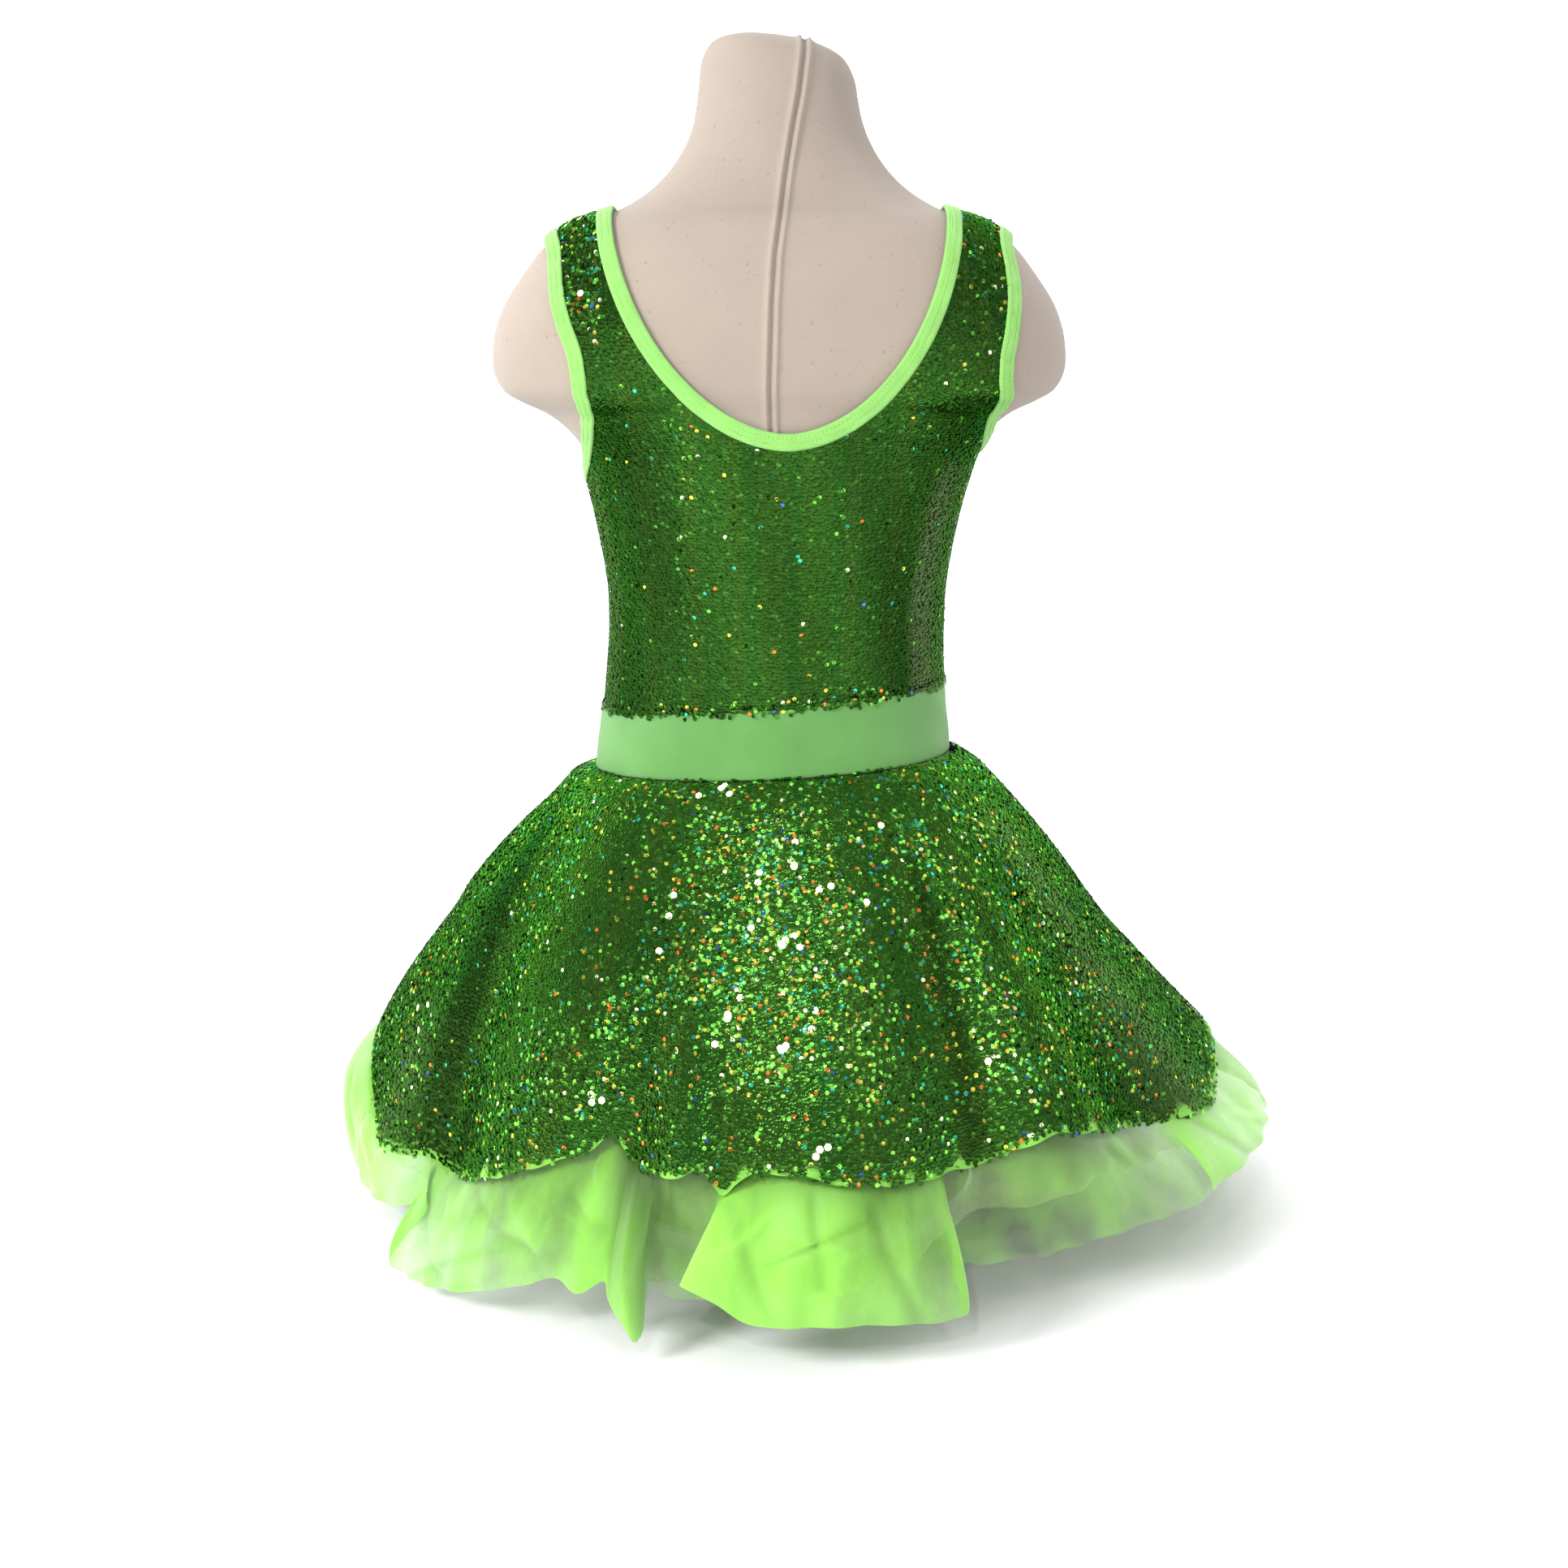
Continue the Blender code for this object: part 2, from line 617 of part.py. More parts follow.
def moved_out(surface, turn, down, distance):
    """Points of a flared surface moved outwards along its normals."""
    turn, down = np.broadcast_arrays(turn, down)
    step = SLOPE_STEP
    inside = np.clip(down, step, LAST_DOWN[surface] - step)
    along = surface(turn + step, down) - surface(turn - step, down)
    fall = surface(turn, inside - step) - surface(turn, inside + step)
    return surface(turn, down) + unit(np.cross(along, fall)) * np.asarray(distance)[..., None]


def outer_petticoat(turn, down):
    """The outer petticoat's outer face, under the skirt to down 1 and on to its own hem at 2."""
    under = np.clip(down, 0, 1)
    beyond = np.clip(down - 1, 0, 1)
    gap = PETTICOAT_GAP + PETTICOAT_EASE * under
    top = moved_out(skirt_surface, turn, under, -gap)
    radius = np.hypot(top[..., 0], top[..., 1])
    reach, height = np.moveaxis(around(PETTICOAT_HEM, np.degrees(turn)), -1, 0)
    radius = radius + (reach - radius) * (1 - (1 - beyond) ** HEM_ROUNDING)
    radius = radius + bumps(WAVES, turn, lambda row: beyond ** WAVE_GROWTH)
    height = top[..., 2] + (height - top[..., 2]) * beyond
    return np.stack([radius * np.cos(turn), radius * np.sin(turn), height], axis=-1)


def inner_petticoat(turn, down):
    """The inner petticoat's outer face, inside the outer layer with slack waves of its own."""
    outer = moved_out(outer_petticoat, turn, down, -(ORGANZA + PETTICOAT_GAP))
    share = down / LAST_DOWN[outer_petticoat]
    slack = INNER_EASE * share + INNER_WAVE * (1 + np.cos(INNER_WAVES * turn)) * share ** 2
    nearer = 1 - slack / np.hypot(outer[..., 0], outer[..., 1])
    return outer * np.stack([nearer, nearer, np.ones_like(nearer)], axis=-1)


LAST_DOWN = {skirt_surface: 1.0, outer_petticoat: 2.0, inner_petticoat: 2.0}


def build_flare(name, surface, back, downs, walls, look):
    """Half of a flared layer as a wall; walls are the distances of its two faces."""
    first = math.pi if back else 0.0
    turn = first + np.linspace(0, math.pi, FLARE_COLUMNS + 1)[None, :]
    turn, down = np.broadcast_arrays(turn, downs[:, None])
    patch = moved_out(surface, turn, down, walls[0]), moved_out(surface, turn, down, walls[1])
    return cloth(name, [patch], look, (0.0, SEAM_GAP * (-0.5 if back else 0.5), 0.0))


def inside_form(points):
    _, width, depth, centre, power = section(run_at(points[..., 2]))
    level_share = (
        np.abs(points[..., 0] / width) ** power
        + np.abs((points[..., 1] - centre) / depth) ** power
    )
    return (level_share < 1) & (points[..., 2] > FORM_BOTTOM)


def brief_point(row, across, back):
    """The form's surface met by a ray; row counts down the brief's table, across is -1 to 1."""
    height, tilt, spread = np.moveaxis(
        curve_through(np.arange(len(BRIEF)), np.array(BRIEF), row), -1, 0
    )
    tilt, side = np.radians(tilt), np.radians(np.minimum(spread, 90)) * across
    forward = np.cos(side) * np.cos(tilt) * (-1 if back else 1)
    ray = np.stack([np.sin(side), forward, -np.cos(side) * np.sin(tilt)], axis=-1)
    rise = BAND_FOOT_RISE * BRIEF_TOP_REACH * np.sin(side)
    height = height + rise * np.clip(1 - row / BRIEF_LEVEL_ROW, 0, 1)
    start = np.stack([np.zeros_like(height), np.zeros_like(height), height], axis=-1)
    near, far = np.zeros_like(height), np.full_like(height, RAY_REACH)
    for _ in range(RAY_TRIES):
        middle = (near + far) / 2
        inside = inside_form(start + ray * middle[..., None])
        near, far = np.where(inside, middle, near), np.where(inside, far, middle)
    return start + ray * near[..., None]


def build_brief(name, back, looks):
    row, across = np.meshgrid(
        np.linspace(0, len(BRIEF) - 1, BRIEF_ROWS + 1),
        np.linspace(-1, 1, BRIEF_COLUMNS + 1),
        indexing="ij",
    )
    points = brief_point(row, across, back)
    step = BRIEF_STEP
    along = brief_point(row, across + step, back) - brief_point(row, across - step, back)
    low, high = np.clip(row - step, 0, None), np.clip(row + step, None, len(BRIEF) - 1)
    fall = brief_point(high, across, back) - brief_point(low, across, back)
    normal = unit(np.cross(fall, along)) * (1 if back else -1)
    patch = points + normal * BRIEF_OUT, points + normal * (BRIEF_OUT + BRIEF_CLOTH)
    shift = (0.0, SEAM_GAP * (-0.5 if back else 0.5), 0.0)
    return cloth(name, [patch], looks["lime_lining"], shift)


def build_turned(name, profile, sides, place, look):
    """A closed round piece from rows of radius and height, lowest first."""
    turn = np.arange(sides) * 2 * math.pi / sides
    corners, faces = [], []
    for radius, height in profile:
        corners += [(place[0] + radius * math.cos(a), place[1] + radius * math.sin(a), height)
                    for a in turn]
    for r in range(len(profile) - 1):
        for c in range(sides):
            d, low, high = (c + 1) % sides, r * sides, (r + 1) * sides
            faces.append((low + c, low + d, high + d, high + c))
    faces.append(tuple(range(sides))[::-1])
    faces.append(tuple(range((len(profile) - 1) * sides, len(profile) * sides)))
    return add_mesh(name, corners, faces, look)


def build_stand(looks):
    edge = BASE_BEVEL
    base = (
        (BASE_RADIUS - edge, 0.0),
        (BASE_RADIUS, edge),
        (BASE_RADIUS, BASE_HEIGHT - edge),
        (BASE_RADIUS - edge, BASE_HEIGHT),
    )
    build_turned("stand_base", base, BASE_SIDES, (0.0, 0.0), looks["white_metal"])
    rod = (
        (ROD_RADIUS, BASE_HEIGHT + SEAM_GAP),
        (ROD_RADIUS, FORM_BOTTOM - SEAM_GAP),
    )
    for name, side in (("stand_rod_left", -1), ("stand_rod_right", 1)):
        build_turned(name, rod, ROD_SIDES, (side * ROD_OFFSET, 0.0), looks["white_metal"])


def main():
    clear_scene()
    looks = {name: finish(name) for name in FINISHES}
    build_form(looks["form_jersey"])
    build_stand(looks)
    build_binding("neck_binding", neck_line(), looks)
    build_binding("armhole_binding_left", armhole_line(-1), looks)
    build_binding("armhole_binding_right", armhole_line(1), looks)
    build_waistband(looks)
    skirt_rows = np.linspace(0, 1, SKIRT_ROWS + 1) ** ROW_CROWDING
    hoop_rows = np.concatenate([skirt_rows[1:], np.linspace(1, 2, HOOP_ROWS + 1)[1:]])
    layers = (
        ("skirt_", skirt_surface, skirt_rows, (0.0, SEQUIN_CLOTH), "sequin_cloth"),
        ("petticoat_outer_", outer_petticoat, hoop_rows, (-ORGANZA, 0.0), "lime_organza"),
        ("petticoat_inner_", inner_petticoat, hoop_rows, (-ORGANZA, 0.0), "lime_organza"),
    )
    for half, back in (("back", True), ("front", False)):
        build_bodice("bodice_" + half, back, looks)
        build_brief("brief_" + half, back, looks)
        for name, surface, rows, walls, look in layers:
            build_flare(name + half, surface, back, rows, walls, looks[look])


if __name__ == "__main__":
    main()
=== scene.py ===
"""Looks of a child's skirted sequin leotard on a jersey dress form, in metres, +Z up.

The garment's back faces -Y, as in the picture. Every cloth piece starts from the form's own
surface or from the flare of the skirt, as the solids do, with the folds and the small things that
the solids leave out.
"""
import math

import bmesh
import bpy
import numpy as np
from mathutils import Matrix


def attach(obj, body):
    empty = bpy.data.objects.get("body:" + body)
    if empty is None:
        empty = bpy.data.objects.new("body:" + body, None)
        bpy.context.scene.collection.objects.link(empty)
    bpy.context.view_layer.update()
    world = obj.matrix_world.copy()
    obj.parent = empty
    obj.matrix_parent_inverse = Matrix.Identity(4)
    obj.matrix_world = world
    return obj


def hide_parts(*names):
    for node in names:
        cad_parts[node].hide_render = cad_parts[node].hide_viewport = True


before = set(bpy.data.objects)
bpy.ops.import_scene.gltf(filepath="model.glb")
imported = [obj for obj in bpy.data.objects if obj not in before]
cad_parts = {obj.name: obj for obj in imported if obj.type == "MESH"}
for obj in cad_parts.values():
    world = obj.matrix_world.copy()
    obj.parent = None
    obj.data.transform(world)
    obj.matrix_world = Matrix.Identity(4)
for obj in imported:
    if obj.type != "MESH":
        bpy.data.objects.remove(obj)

bl_info = {
    "name": "Sequin Leotard",
    "version": (1, 0, 0),
    "blender": (4, 5, 0),
    "location": "View3D > Sidebar > Leotard",
    "description": "Builds the looks of a skirted sequin leotard on its dress form",
    "category": "Object",
}

# Sizes of the solids, in metres
SEAM_GAP = 0.0003
SEQUIN_CLOTH = 0.0016
BODICE_OUT = 0.0012
BRIEF_OUT = 0.0016
BAND_CLOTH = 0.0020
SKIRT_OUT = 0.0030
SKIRT_BELOW = 0.0023
BINDING_WIDTH = 0.0092
BINDING_THICK = 0.0026
BINDING_OUT = 0.0016
BAND_TOP = 0.3030
BAND_TOP_RISE = 0.077
BAND_FOOT = 0.2650
BAND_FOOT_RISE = 0.046
NECK_TOP = 0.5726
NECK_HALF_WIDTH = 0.0900
NECK_BACK_DROP = 0.1211
NECK_FRONT_DROP = 0.0560
NECK_ROUND = 1.83
NECK_DRIFT = 0.0045
NECK_TILT = -0.128
NECK_TILT_FROM = 0.6190
NECK_TILT_FULL = 0.6500
FORM_BOTTOM = 0.1180
PETTICOAT_GAP = 0.0007
PETTICOAT_EASE = 0.0040
INNER_EASE = 0.0160
ARMHOLE_FRONT = 0.90
NEAREST_TRIES = 8
BRIEF_LEVEL_ROW = 3
BRIEF_TOP_REACH = 0.100
SKIRT_ROUNDING = 0.30
SKIRT_FALL = 1.08
SKIRT_HANG_FALL = 0.32
FOLD_GROWTH = 1.4
HEM_ROUNDING = 1.5
WAVE_GROWTH = 1.2
# Step for slopes, and how far and how often the brief's rays look for the form
SLOPE_STEP = 1e-4
RAY_REACH = 0.25
RAY_TRIES = 40
BRIEF_STEP = 0.02
# Least share of its flat cut that a gathered or stretched sheet covers
LEAST_CUT_SHARE = 0.3
# Strings of sequins along half the bodice's foot and a quarter of the skirt's hem
BODICE_STRINGS = 150
SKIRT_STRINGS = 170

# The bare form: height, half width, half depth, centre towards the front, roundness
FORM = (
    (0.1180, 0.0660, 0.0520, 0.002, 2.1),
    (0.1205, 0.0800, 0.0640, 0.002, 2.1),
    (0.1270, 0.0920, 0.0745, 0.002, 2.1),
    (0.1390, 0.1015, 0.0830, 0.002, 2.1),
    (0.1600, 0.1080, 0.0885, 0.002, 2.1),
    (0.1850, 0.1080, 0.0890, 0.001, 2.1),
    (0.2200, 0.1035, 0.0865, 0.000, 2.1),
    (0.2600, 0.0965, 0.0800, 0.000, 2.1),
    (0.3000, 0.0925, 0.0755, 0.001, 2.1),
    (0.3350, 0.0912, 0.0745, 0.002, 2.1),
    (0.3650, 0.0925, 0.0755, 0.002, 2.1),
    (0.3950, 0.0975, 0.0770, 0.002, 2.1),
    (0.4240, 0.1050, 0.0785, 0.002, 2.1),
    (0.4430, 0.1120, 0.0790, 0.001, 2.1),
    (0.4530, 0.1200, 0.0785, 0.000, 2.1),
    (0.4615, 0.1310, 0.0780, 0.000, 2.1),
    (0.4680, 0.1450, 0.0770, 0.000, 2.15),
    (0.4740, 0.1550, 0.0760, 0.000, 2.2),
    (0.4840, 0.1605, 0.0750, 0.000, 2.2),
    (0.4960, 0.1610, 0.0740, 0.000, 2.2),
    (0.5170, 0.1560, 0.0705, 0.000, 2.2),
    (0.5370, 0.1440, 0.0660, 0.001, 2.1),
    (0.5556, 0.1285, 0.0600, 0.002, 2.0),
    (0.5640, 0.1165, 0.0560, 0.003, 2.0),
    (0.5726, 0.0905, 0.0510, 0.004, 2.0),
    (0.5860, 0.0690, 0.0480, 0.005, 2.0),
    (0.6010, 0.0560, 0.0455, 0.007, 2.0),
    (0.6190, 0.0475, 0.0430, 0.009, 2.0),
    (0.6350, 0.0445, 0.0415, 0.011, 2.0),
    (0.6500, 0.0420, 0.0400, 0.012, 2.0),
    (0.6585, 0.0370, 0.0355, 0.012, 2.0),
    (0.6635, 0.0270, 0.0260, 0.012, 2.0),
    (0.6655, 0.0140, 0.0135, 0.012, 2.0),
)
# The left and right armholes from the shoulder to the underarm: height, depth
ARMHOLES = {
    -1: (
        (0.5556, 0.0000),
        (0.5540, 0.0110),
        (0.5490, 0.0230),
        (0.5290, 0.0410),
        (0.5080, 0.0515),
        (0.4870, 0.0570),
        (0.4715, 0.0560),
        (0.4590, 0.0445),
        (0.4450, 0.0270),
        (0.4375, 0.0160),
        (0.4335, 0.0070),
        (0.4325, 0.0000),
    ),
    1: (
        (0.5556, 0.0000),
        (0.5545, 0.0100),
        (0.5500, 0.0205),
        (0.5345, 0.0330),
        (0.5175, 0.0425),
        (0.5010, 0.0480),
        (0.4860, 0.0505),
        (0.4755, 0.0490),
        (0.4690, 0.0440),
        (0.4610, 0.0335),
        (0.4540, 0.0215),
        (0.4495, 0.0105),
        (0.4485, 0.0000),
    ),
}
# How far the cloth stands off the form at the left of the waist: height, distance
LEFT_SLACK = (
    (0.1500, 0.0000),
    (0.2000, 0.0040),
    (0.2592, 0.0085),
    (0.2787, 0.0085),
    (0.3000, 0.0066),
    (0.3170, 0.0060),
    (0.3400, 0.0044),
    (0.3600, 0.0037),
    (0.4000, 0.0032),
    (0.4195, 0.0026),
    (0.4350, 0.0000),
)
# The skirt's hem: degrees from +X, reach, height, how much it hangs
SKIRT_HEM = (
    (0, 0.2500, 0.0990, 0.0),
    (45, 0.2350, 0.0980, 0.3),
    (90, 0.2250, 0.0930, 0.4),
    (135, 0.2220, 0.0900, 0.5),
    (170, 0.2240, 0.1080, 0.8),
    (183, 0.2260, 0.1060, 1.0),
    (198, 0.2250, 0.0700, 1.0),
    (225, 0.2180, 0.0680, 0.7),
    (247, 0.2200, 0.0900, 0.5),
    (270, 0.2250, 0.0915, 0.4),
    (295, 0.2250, 0.0940, 0.3),
    (320, 0.2330, 0.0950, 0.2),
    (340, 0.2430, 0.0930, 0.0),
)
# The skirt's folds: degrees from +X, swing out, half width in degrees, where down they start
FOLDS = (
    (211, -0.0120, 9.0, 0.15),
    (231, 0.0070, 9.0, 0.10),
    (247, -0.0150, 6.5, 0.25),
    (258, 0.0080, 6.0, 0.30),
    (278, 0.0050, 11.0, 0.20),
    (295, -0.0120, 7.0, 0.15),
    (308, 0.0060, 8.0, 0.20),
    (326, -0.0120, 7.0, 0.10),
    (338, 0.0060, 7.0, 0.20),
    (18, -0.0090, 8.0, 0.20),
    (37, 0.0070, 9.0, 0.15),
    (57, -0.0130, 8.0, 0.20),
    (75, 0.0060, 8.0, 0.25),
    (93, -0.0110, 7.0, 0.15),
    (111, 0.0080, 9.0, 0.20),
    (130, -0.0120, 8.0, 0.15),
    (150, 0.0060, 9.0, 0.25),
    (166, -0.0080, 7.0, 0.20),
)
# The outer petticoat's hem: degrees from +X, reach, height
PETTICOAT_HEM = (
    (0, 0.2800, 0.0530),
    (40, 0.2600, 0.0480),
    (90, 0.2480, 0.0380),
    (140, 0.2480, 0.0330),
    (180, 0.2450, 0.0360),
    (205, 0.2460, 0.0300),
    (225, 0.2450, 0.0230),
    (238, 0.2430, 0.0330),
    (251, 0.2450, 0.0180),
    (260, 0.2450, 0.0280),
    (285, 0.2480, 0.0280),
    (298, 0.2500, 0.0420),
    (320, 0.2620, 0.0520),
    (340, 0.2740, 0.0520),
)
# The petticoat's waves below the skirt: degrees from +X, swing out, half width in degrees
WAVES = (
    (188, 0.0070, 7.0),
    (203, -0.0080, 6.0),
    (219, 0.0080, 6.0),
    (236, -0.0090, 5.0),
    (250, 0.0080, 5.0),
    (261, -0.0080, 4.5),
    (278, 0.0070, 9.0),
    (299, -0.0100, 5.0),
    (312, 0.0070, 7.0),
    (330, -0.0070, 6.0),
    (346, 0.0050, 6.0),
    (14, -0.0080, 7.0),
    (30, 0.0080, 7.0),
    (47, -0.0090, 7.0),
    (66, 0.0080, 7.0),
    (84, -0.0090, 7.0),
    (102, 0.0080, 7.0),
    (120, -0.0090, 7.0),
    (139, 0.0080, 7.0),
    (158, -0.0080, 7.0),
)
# The brief's rows: height of the ray's start, its tilt below level, half angle across
BRIEF = (
    (0.2640, 0.0, 90.0),
    (0.2450, 0.0, 90.0),
    (0.2280, 0.0, 90.0),
    (0.2120, 0.0, 86.0),
    (0.2000, 8.0, 74.0),
    (0.1900, 18.0, 61.0),
    (0.1820, 29.0, 50.0),
    (0.1760, 41.0, 41.0),
    (0.1720, 54.0, 33.0),
    (0.1700, 67.0, 28.0),
    (0.1700, 79.0, 25.0),
    (0.1700, 90.0, 24.0),
)
# The outer petticoat's hem as it was folded by hand: place on the skirt's hem in degrees from +X,
# place at the petticoat's hem in degrees, how far out of the plain flare, height, cover.
# Where the second column runs back, the cloth lies over itself. Cover is how much the cloth hides.
HEM_PATH = (
    (0, 0, 0.000, 0.055, 0.80),
    (8, 9, 0.000, 0.052, 0.75),
    (14, 16, 0.000, 0.050, 0.50),
    (18, 14, 0.010, 0.046, 0.70),
    (27, 25, 0.008, 0.044, 0.55),
    (36, 37, 0.000, 0.048, 0.45),
    (40, 41, -0.008, 0.050, 0.50),
    (43, 39, 0.004, 0.040, 0.80),
    (52, 51, 0.006, 0.036, 0.70),
    (60, 61, 0.002, 0.038, 0.45),
    (66, 68, -0.008, 0.042, 0.45),
    (69, 65, 0.004, 0.034, 0.75),
    (80, 79, 0.006, 0.031, 0.80),
    (90, 90, 0.004, 0.033, 0.55),
    (96, 98, -0.006, 0.040, 0.45),
    (100, 96, 0.005, 0.030, 0.75),
    (110, 109, 0.006, 0.028, 0.60),
    (119, 120, 0.001, 0.032, 0.45),
    (124, 126, -0.008, 0.038, 0.50),
    (127, 123, 0.004, 0.030, 0.80),
    (138, 137, 0.006, 0.029, 0.65),
    (147, 148, 0.000, 0.034, 0.45),
    (152, 154, -0.006, 0.038, 0.50),
    (155, 151, 0.005, 0.030, 0.70),
    (165, 164, 0.007, 0.033, 0.65),
    (173, 173, 0.006, 0.036, 0.80),
    (180, 180, 0.004, 0.030, 0.90),
    (188, 188, -0.003, 0.022, 0.95),
    (195, 196, -0.008, 0.023, 0.95),
    (201, 205, -0.011, 0.028, 0.66),
    (206, 214, -0.014, 0.036, 0.56),
    (208.5, 212.5, 0.003, 0.012, 0.75),
    (212, 216, 0.003, 0.008, 0.55),
    (219, 221, 0.002, 0.008, 0.75),
    (223, 224, 0.001, 0.010, 0.50),
    (227, 227, 0.000, 0.012, 0.75),
    (232, 232, 0.000, 0.019, 0.42),
    (237, 237, -0.002, 0.026, 0.58),
    (241, 241, -0.004, 0.033, 0.55),
    (245, 245.5, -0.002, 0.030, 0.88),
    (247, 248, -0.006, 0.036, 0.90),
    (248.5, 249, -0.001, 0.029, 0.95),
    (250, 251.5, 0.004, 0.021, 0.95),
    (251.5, 253.3, 0.006, 0.013, 0.95),
    (252.5, 253.9, 0.003, 0.019, 0.80),
    (253.5, 253.4, -0.008, 0.030, 0.35),
    (256, 257, -0.018, 0.027, 0.25),
    (259, 261, -0.020, 0.026, 0.25),
    (261, 264, -0.015, 0.028, 0.30),
    (263, 258.3, 0.000, 0.042, 0.95),
    (266, 262.8, 0.004, 0.036, 0.95),
    (268, 265.4, 0.005, 0.028, 0.95),
    (272, 270, 0.005, 0.0255, 1.00),
    (278, 276, 0.005, 0.0255, 0.82),
    (285, 283, 0.005, 0.025, 0.50),
    (290, 289.5, 0.005, 0.0245, 0.56),
    (291.5, 291.6, 0.002, 0.027, 0.90),
    (293, 290.8, -0.009, 0.040, 0.25),
    (297, 296, -0.014, 0.041, 0.22),
    (302, 302, -0.010, 0.042, 0.22),
    (310, 309, -0.005, 0.046, 0.32),
    (318, 318, -0.003, 0.048, 0.40),
    (325, 326, -0.001, 0.049, 0.32),
    (329, 331, -0.006, 0.051, 0.42),
    (332, 327.5, 0.000, 0.053, 0.92),
    (337, 334, -0.002, 0.054, 0.92),
    (345, 345, -0.003, 0.054, 0.92),
    (352, 353, -0.002, 0.055, 0.88),
)
# The outer petticoat's hand-made creases, each from one place to another: degrees on the skirt's
# hem and share of the way from there to the petticoat's hem, half width, way out
CREASES = (
    (264, 0.10, 271, 0.95, 0.9, -0.0016),
    (266, 0.30, 279, 0.45, 1.1, 0.0014),
    (270, 0.55, 283, 0.20, 0.8, -0.0015),
    (274, 0.05, 276, 0.70, 0.7, -0.0012),
    (247.2, 0.10, 248.6, 0.95, 0.5, -0.0014),
    (249.4, 0.05, 250.6, 0.90, 0.5, 0.0014),
    (251.8, 0.10, 252.4, 0.95, 0.4, -0.0012),
    (265, 0.60, 270, 0.15, 0.7, 0.0014),
    (283, 0.30, 288, 0.95, 0.7, 0.0013),
    (276, 0.75, 289, 0.60, 1.0, 0.0014),
    (281, 0.10, 287, 0.95, 0.9, -0.0018),
    (285, 0.05, 286, 0.55, 0.7, 0.0012),
    (206, 0.15, 221, 0.90, 1.2, -0.0022),
    (213, 0.10, 230, 0.85, 1.3, 0.0022),
    (221, 0.05, 239, 0.80, 1.2, -0.0020),
    (231, 0.10, 241, 0.95, 1.0, 0.0018),
    (238, 0.20, 246, 0.60, 0.8, -0.0015),
    (183, 0.20, 192, 0.95, 1.1, -0.0018),
    (190, 0.10, 198, 0.80, 1.0, 0.0016),
    (298, 0.10, 304, 0.90, 1.1, -0.0018),
    (308, 0.25, 303, 0.95, 1.0, 0.0015),
    (316, 0.10, 322, 0.85, 1.2, -0.0020),
    (326, 0.15, 321, 0.80, 1.0, 0.0014),
    (335, 0.10, 341, 0.95, 1.0, -0.0022),
    (343, 0.30, 350, 0.90, 1.1, 0.0018),
    (6, 0.15, 13, 0.90, 1.1, -0.0018),
    (24, 0.10, 31, 0.85, 1.2, 0.0019),
    (48, 0.20, 55, 0.95, 1.0, -0.0020),
    (73, 0.10, 78, 0.80, 1.1, 0.0016),
    (86, 0.25, 94, 0.95, 1.2, -0.0021),
    (105, 0.10, 112, 0.85, 1.0, 0.0017),
    (131, 0.15, 138, 0.90, 1.1, -0.0019),
    (159, 0.10, 166, 0.95, 1.0, 0.0018),
)
# How much longer the skirt's hem hangs than the plain flare: degrees from +X, length
SKIRT_TRIM = (
    (0, 0.006),
    (20, 0.000),
    (90, 0.000),
    (160, 0.000),
    (175, 0.004),
    (185, 0.020),
    (192, 0.032),
    (198, 0.020),
    (205, 0.009),
    (211, 0.012),
    (220, 0.006),
    (229, -0.001),
    (237, -0.005),
    (242, -0.006),
    (245, -0.012),
    (248, -0.001),
    (252, 0.004),
    (257, 0.000),
    (260.5, -0.003),
    (262.5, 0.007),
    (264.5, 0.001),
    (278, 0.002),
    (289, 0.009),
    (297, 0.008),
    (301, 0.002),
    (306, -0.005),
    (312, -0.002),
    (319, 0.006),
    (326, 0.011),
    (340, 0.013),
    (352, 0.016),
)
# How much further out the skirt and petticoat stand at their sides: degrees from +X, length
SIDE_REACH = (
    (0, 0.009),
    (30, 0.002),
    (90, 0.000),
    (150, 0.003),
    (178, 0.009),
    (192, 0.010),
    (212, 0.003),
    (270, 0.000),
    (320, 0.003),
    (345, 0.009),
)
# How the skirt's sides puff out below the waist and fall in lower down: place down the skirt,
# way out at the left, way out at the right
SIDE_PUFF = (
    (0.00, 0.0000, 0.0045),
    (0.05, 0.0035, 0.0078),
    (0.10, 0.0000, 0.0076),
    (0.20, -0.0055, 0.0066),
    (0.32, -0.0062, 0.0048),
    (0.44, -0.0055, 0.0016),
    (0.56, -0.0050, -0.0030),
    (0.65, -0.0060, -0.0055),
    (0.75, -0.0030, -0.0050),
    (0.85, 0.0010, -0.0045),
    (0.93, 0.0040, -0.0035),
    (1.00, 0.0070, -0.0020),
)
SIDE_SPREAD = 32.0         # degrees either way over which that reaches
# The form's centre back seam: height, place towards +X
BACK_SEAM = (
    (0.4520, -0.0040),
    (0.4750, -0.0045),
    (0.5200, -0.0030),
    (0.5450, -0.0013),
    (0.5630, 0.0013),
    (0.5860, 0.0040),
    (0.6090, 0.0076),
    (0.6320, 0.0116),
    (0.6560, 0.0143),
)


# Curves and surfaces that the solids are made on

def curve_through(knots, values, at):
    """Smooth curve through rows of values, read at the given knots."""
    knots = np.asarray(knots, float)
    values = np.asarray(values, float)
    at = np.clip(np.asarray(at, float), knots[0], knots[-1])
    slopes = np.gradient(values, knots, axis=0)
    row = np.clip(np.searchsorted(knots, at, side="right") - 1, 0, len(knots) - 2)
    step = knots[row + 1] - knots[row]
    t = (at - knots[row]) / step
    t, step = t[..., None], step[..., None]
    start = values[row] * (1 + 2 * t) * (1 - t) ** 2 + slopes[row] * step * t * (1 - t) ** 2
    end = values[row + 1] * t ** 2 * (3 - 2 * t) - slopes[row + 1] * step * t ** 2 * (1 - t)
    return start + end


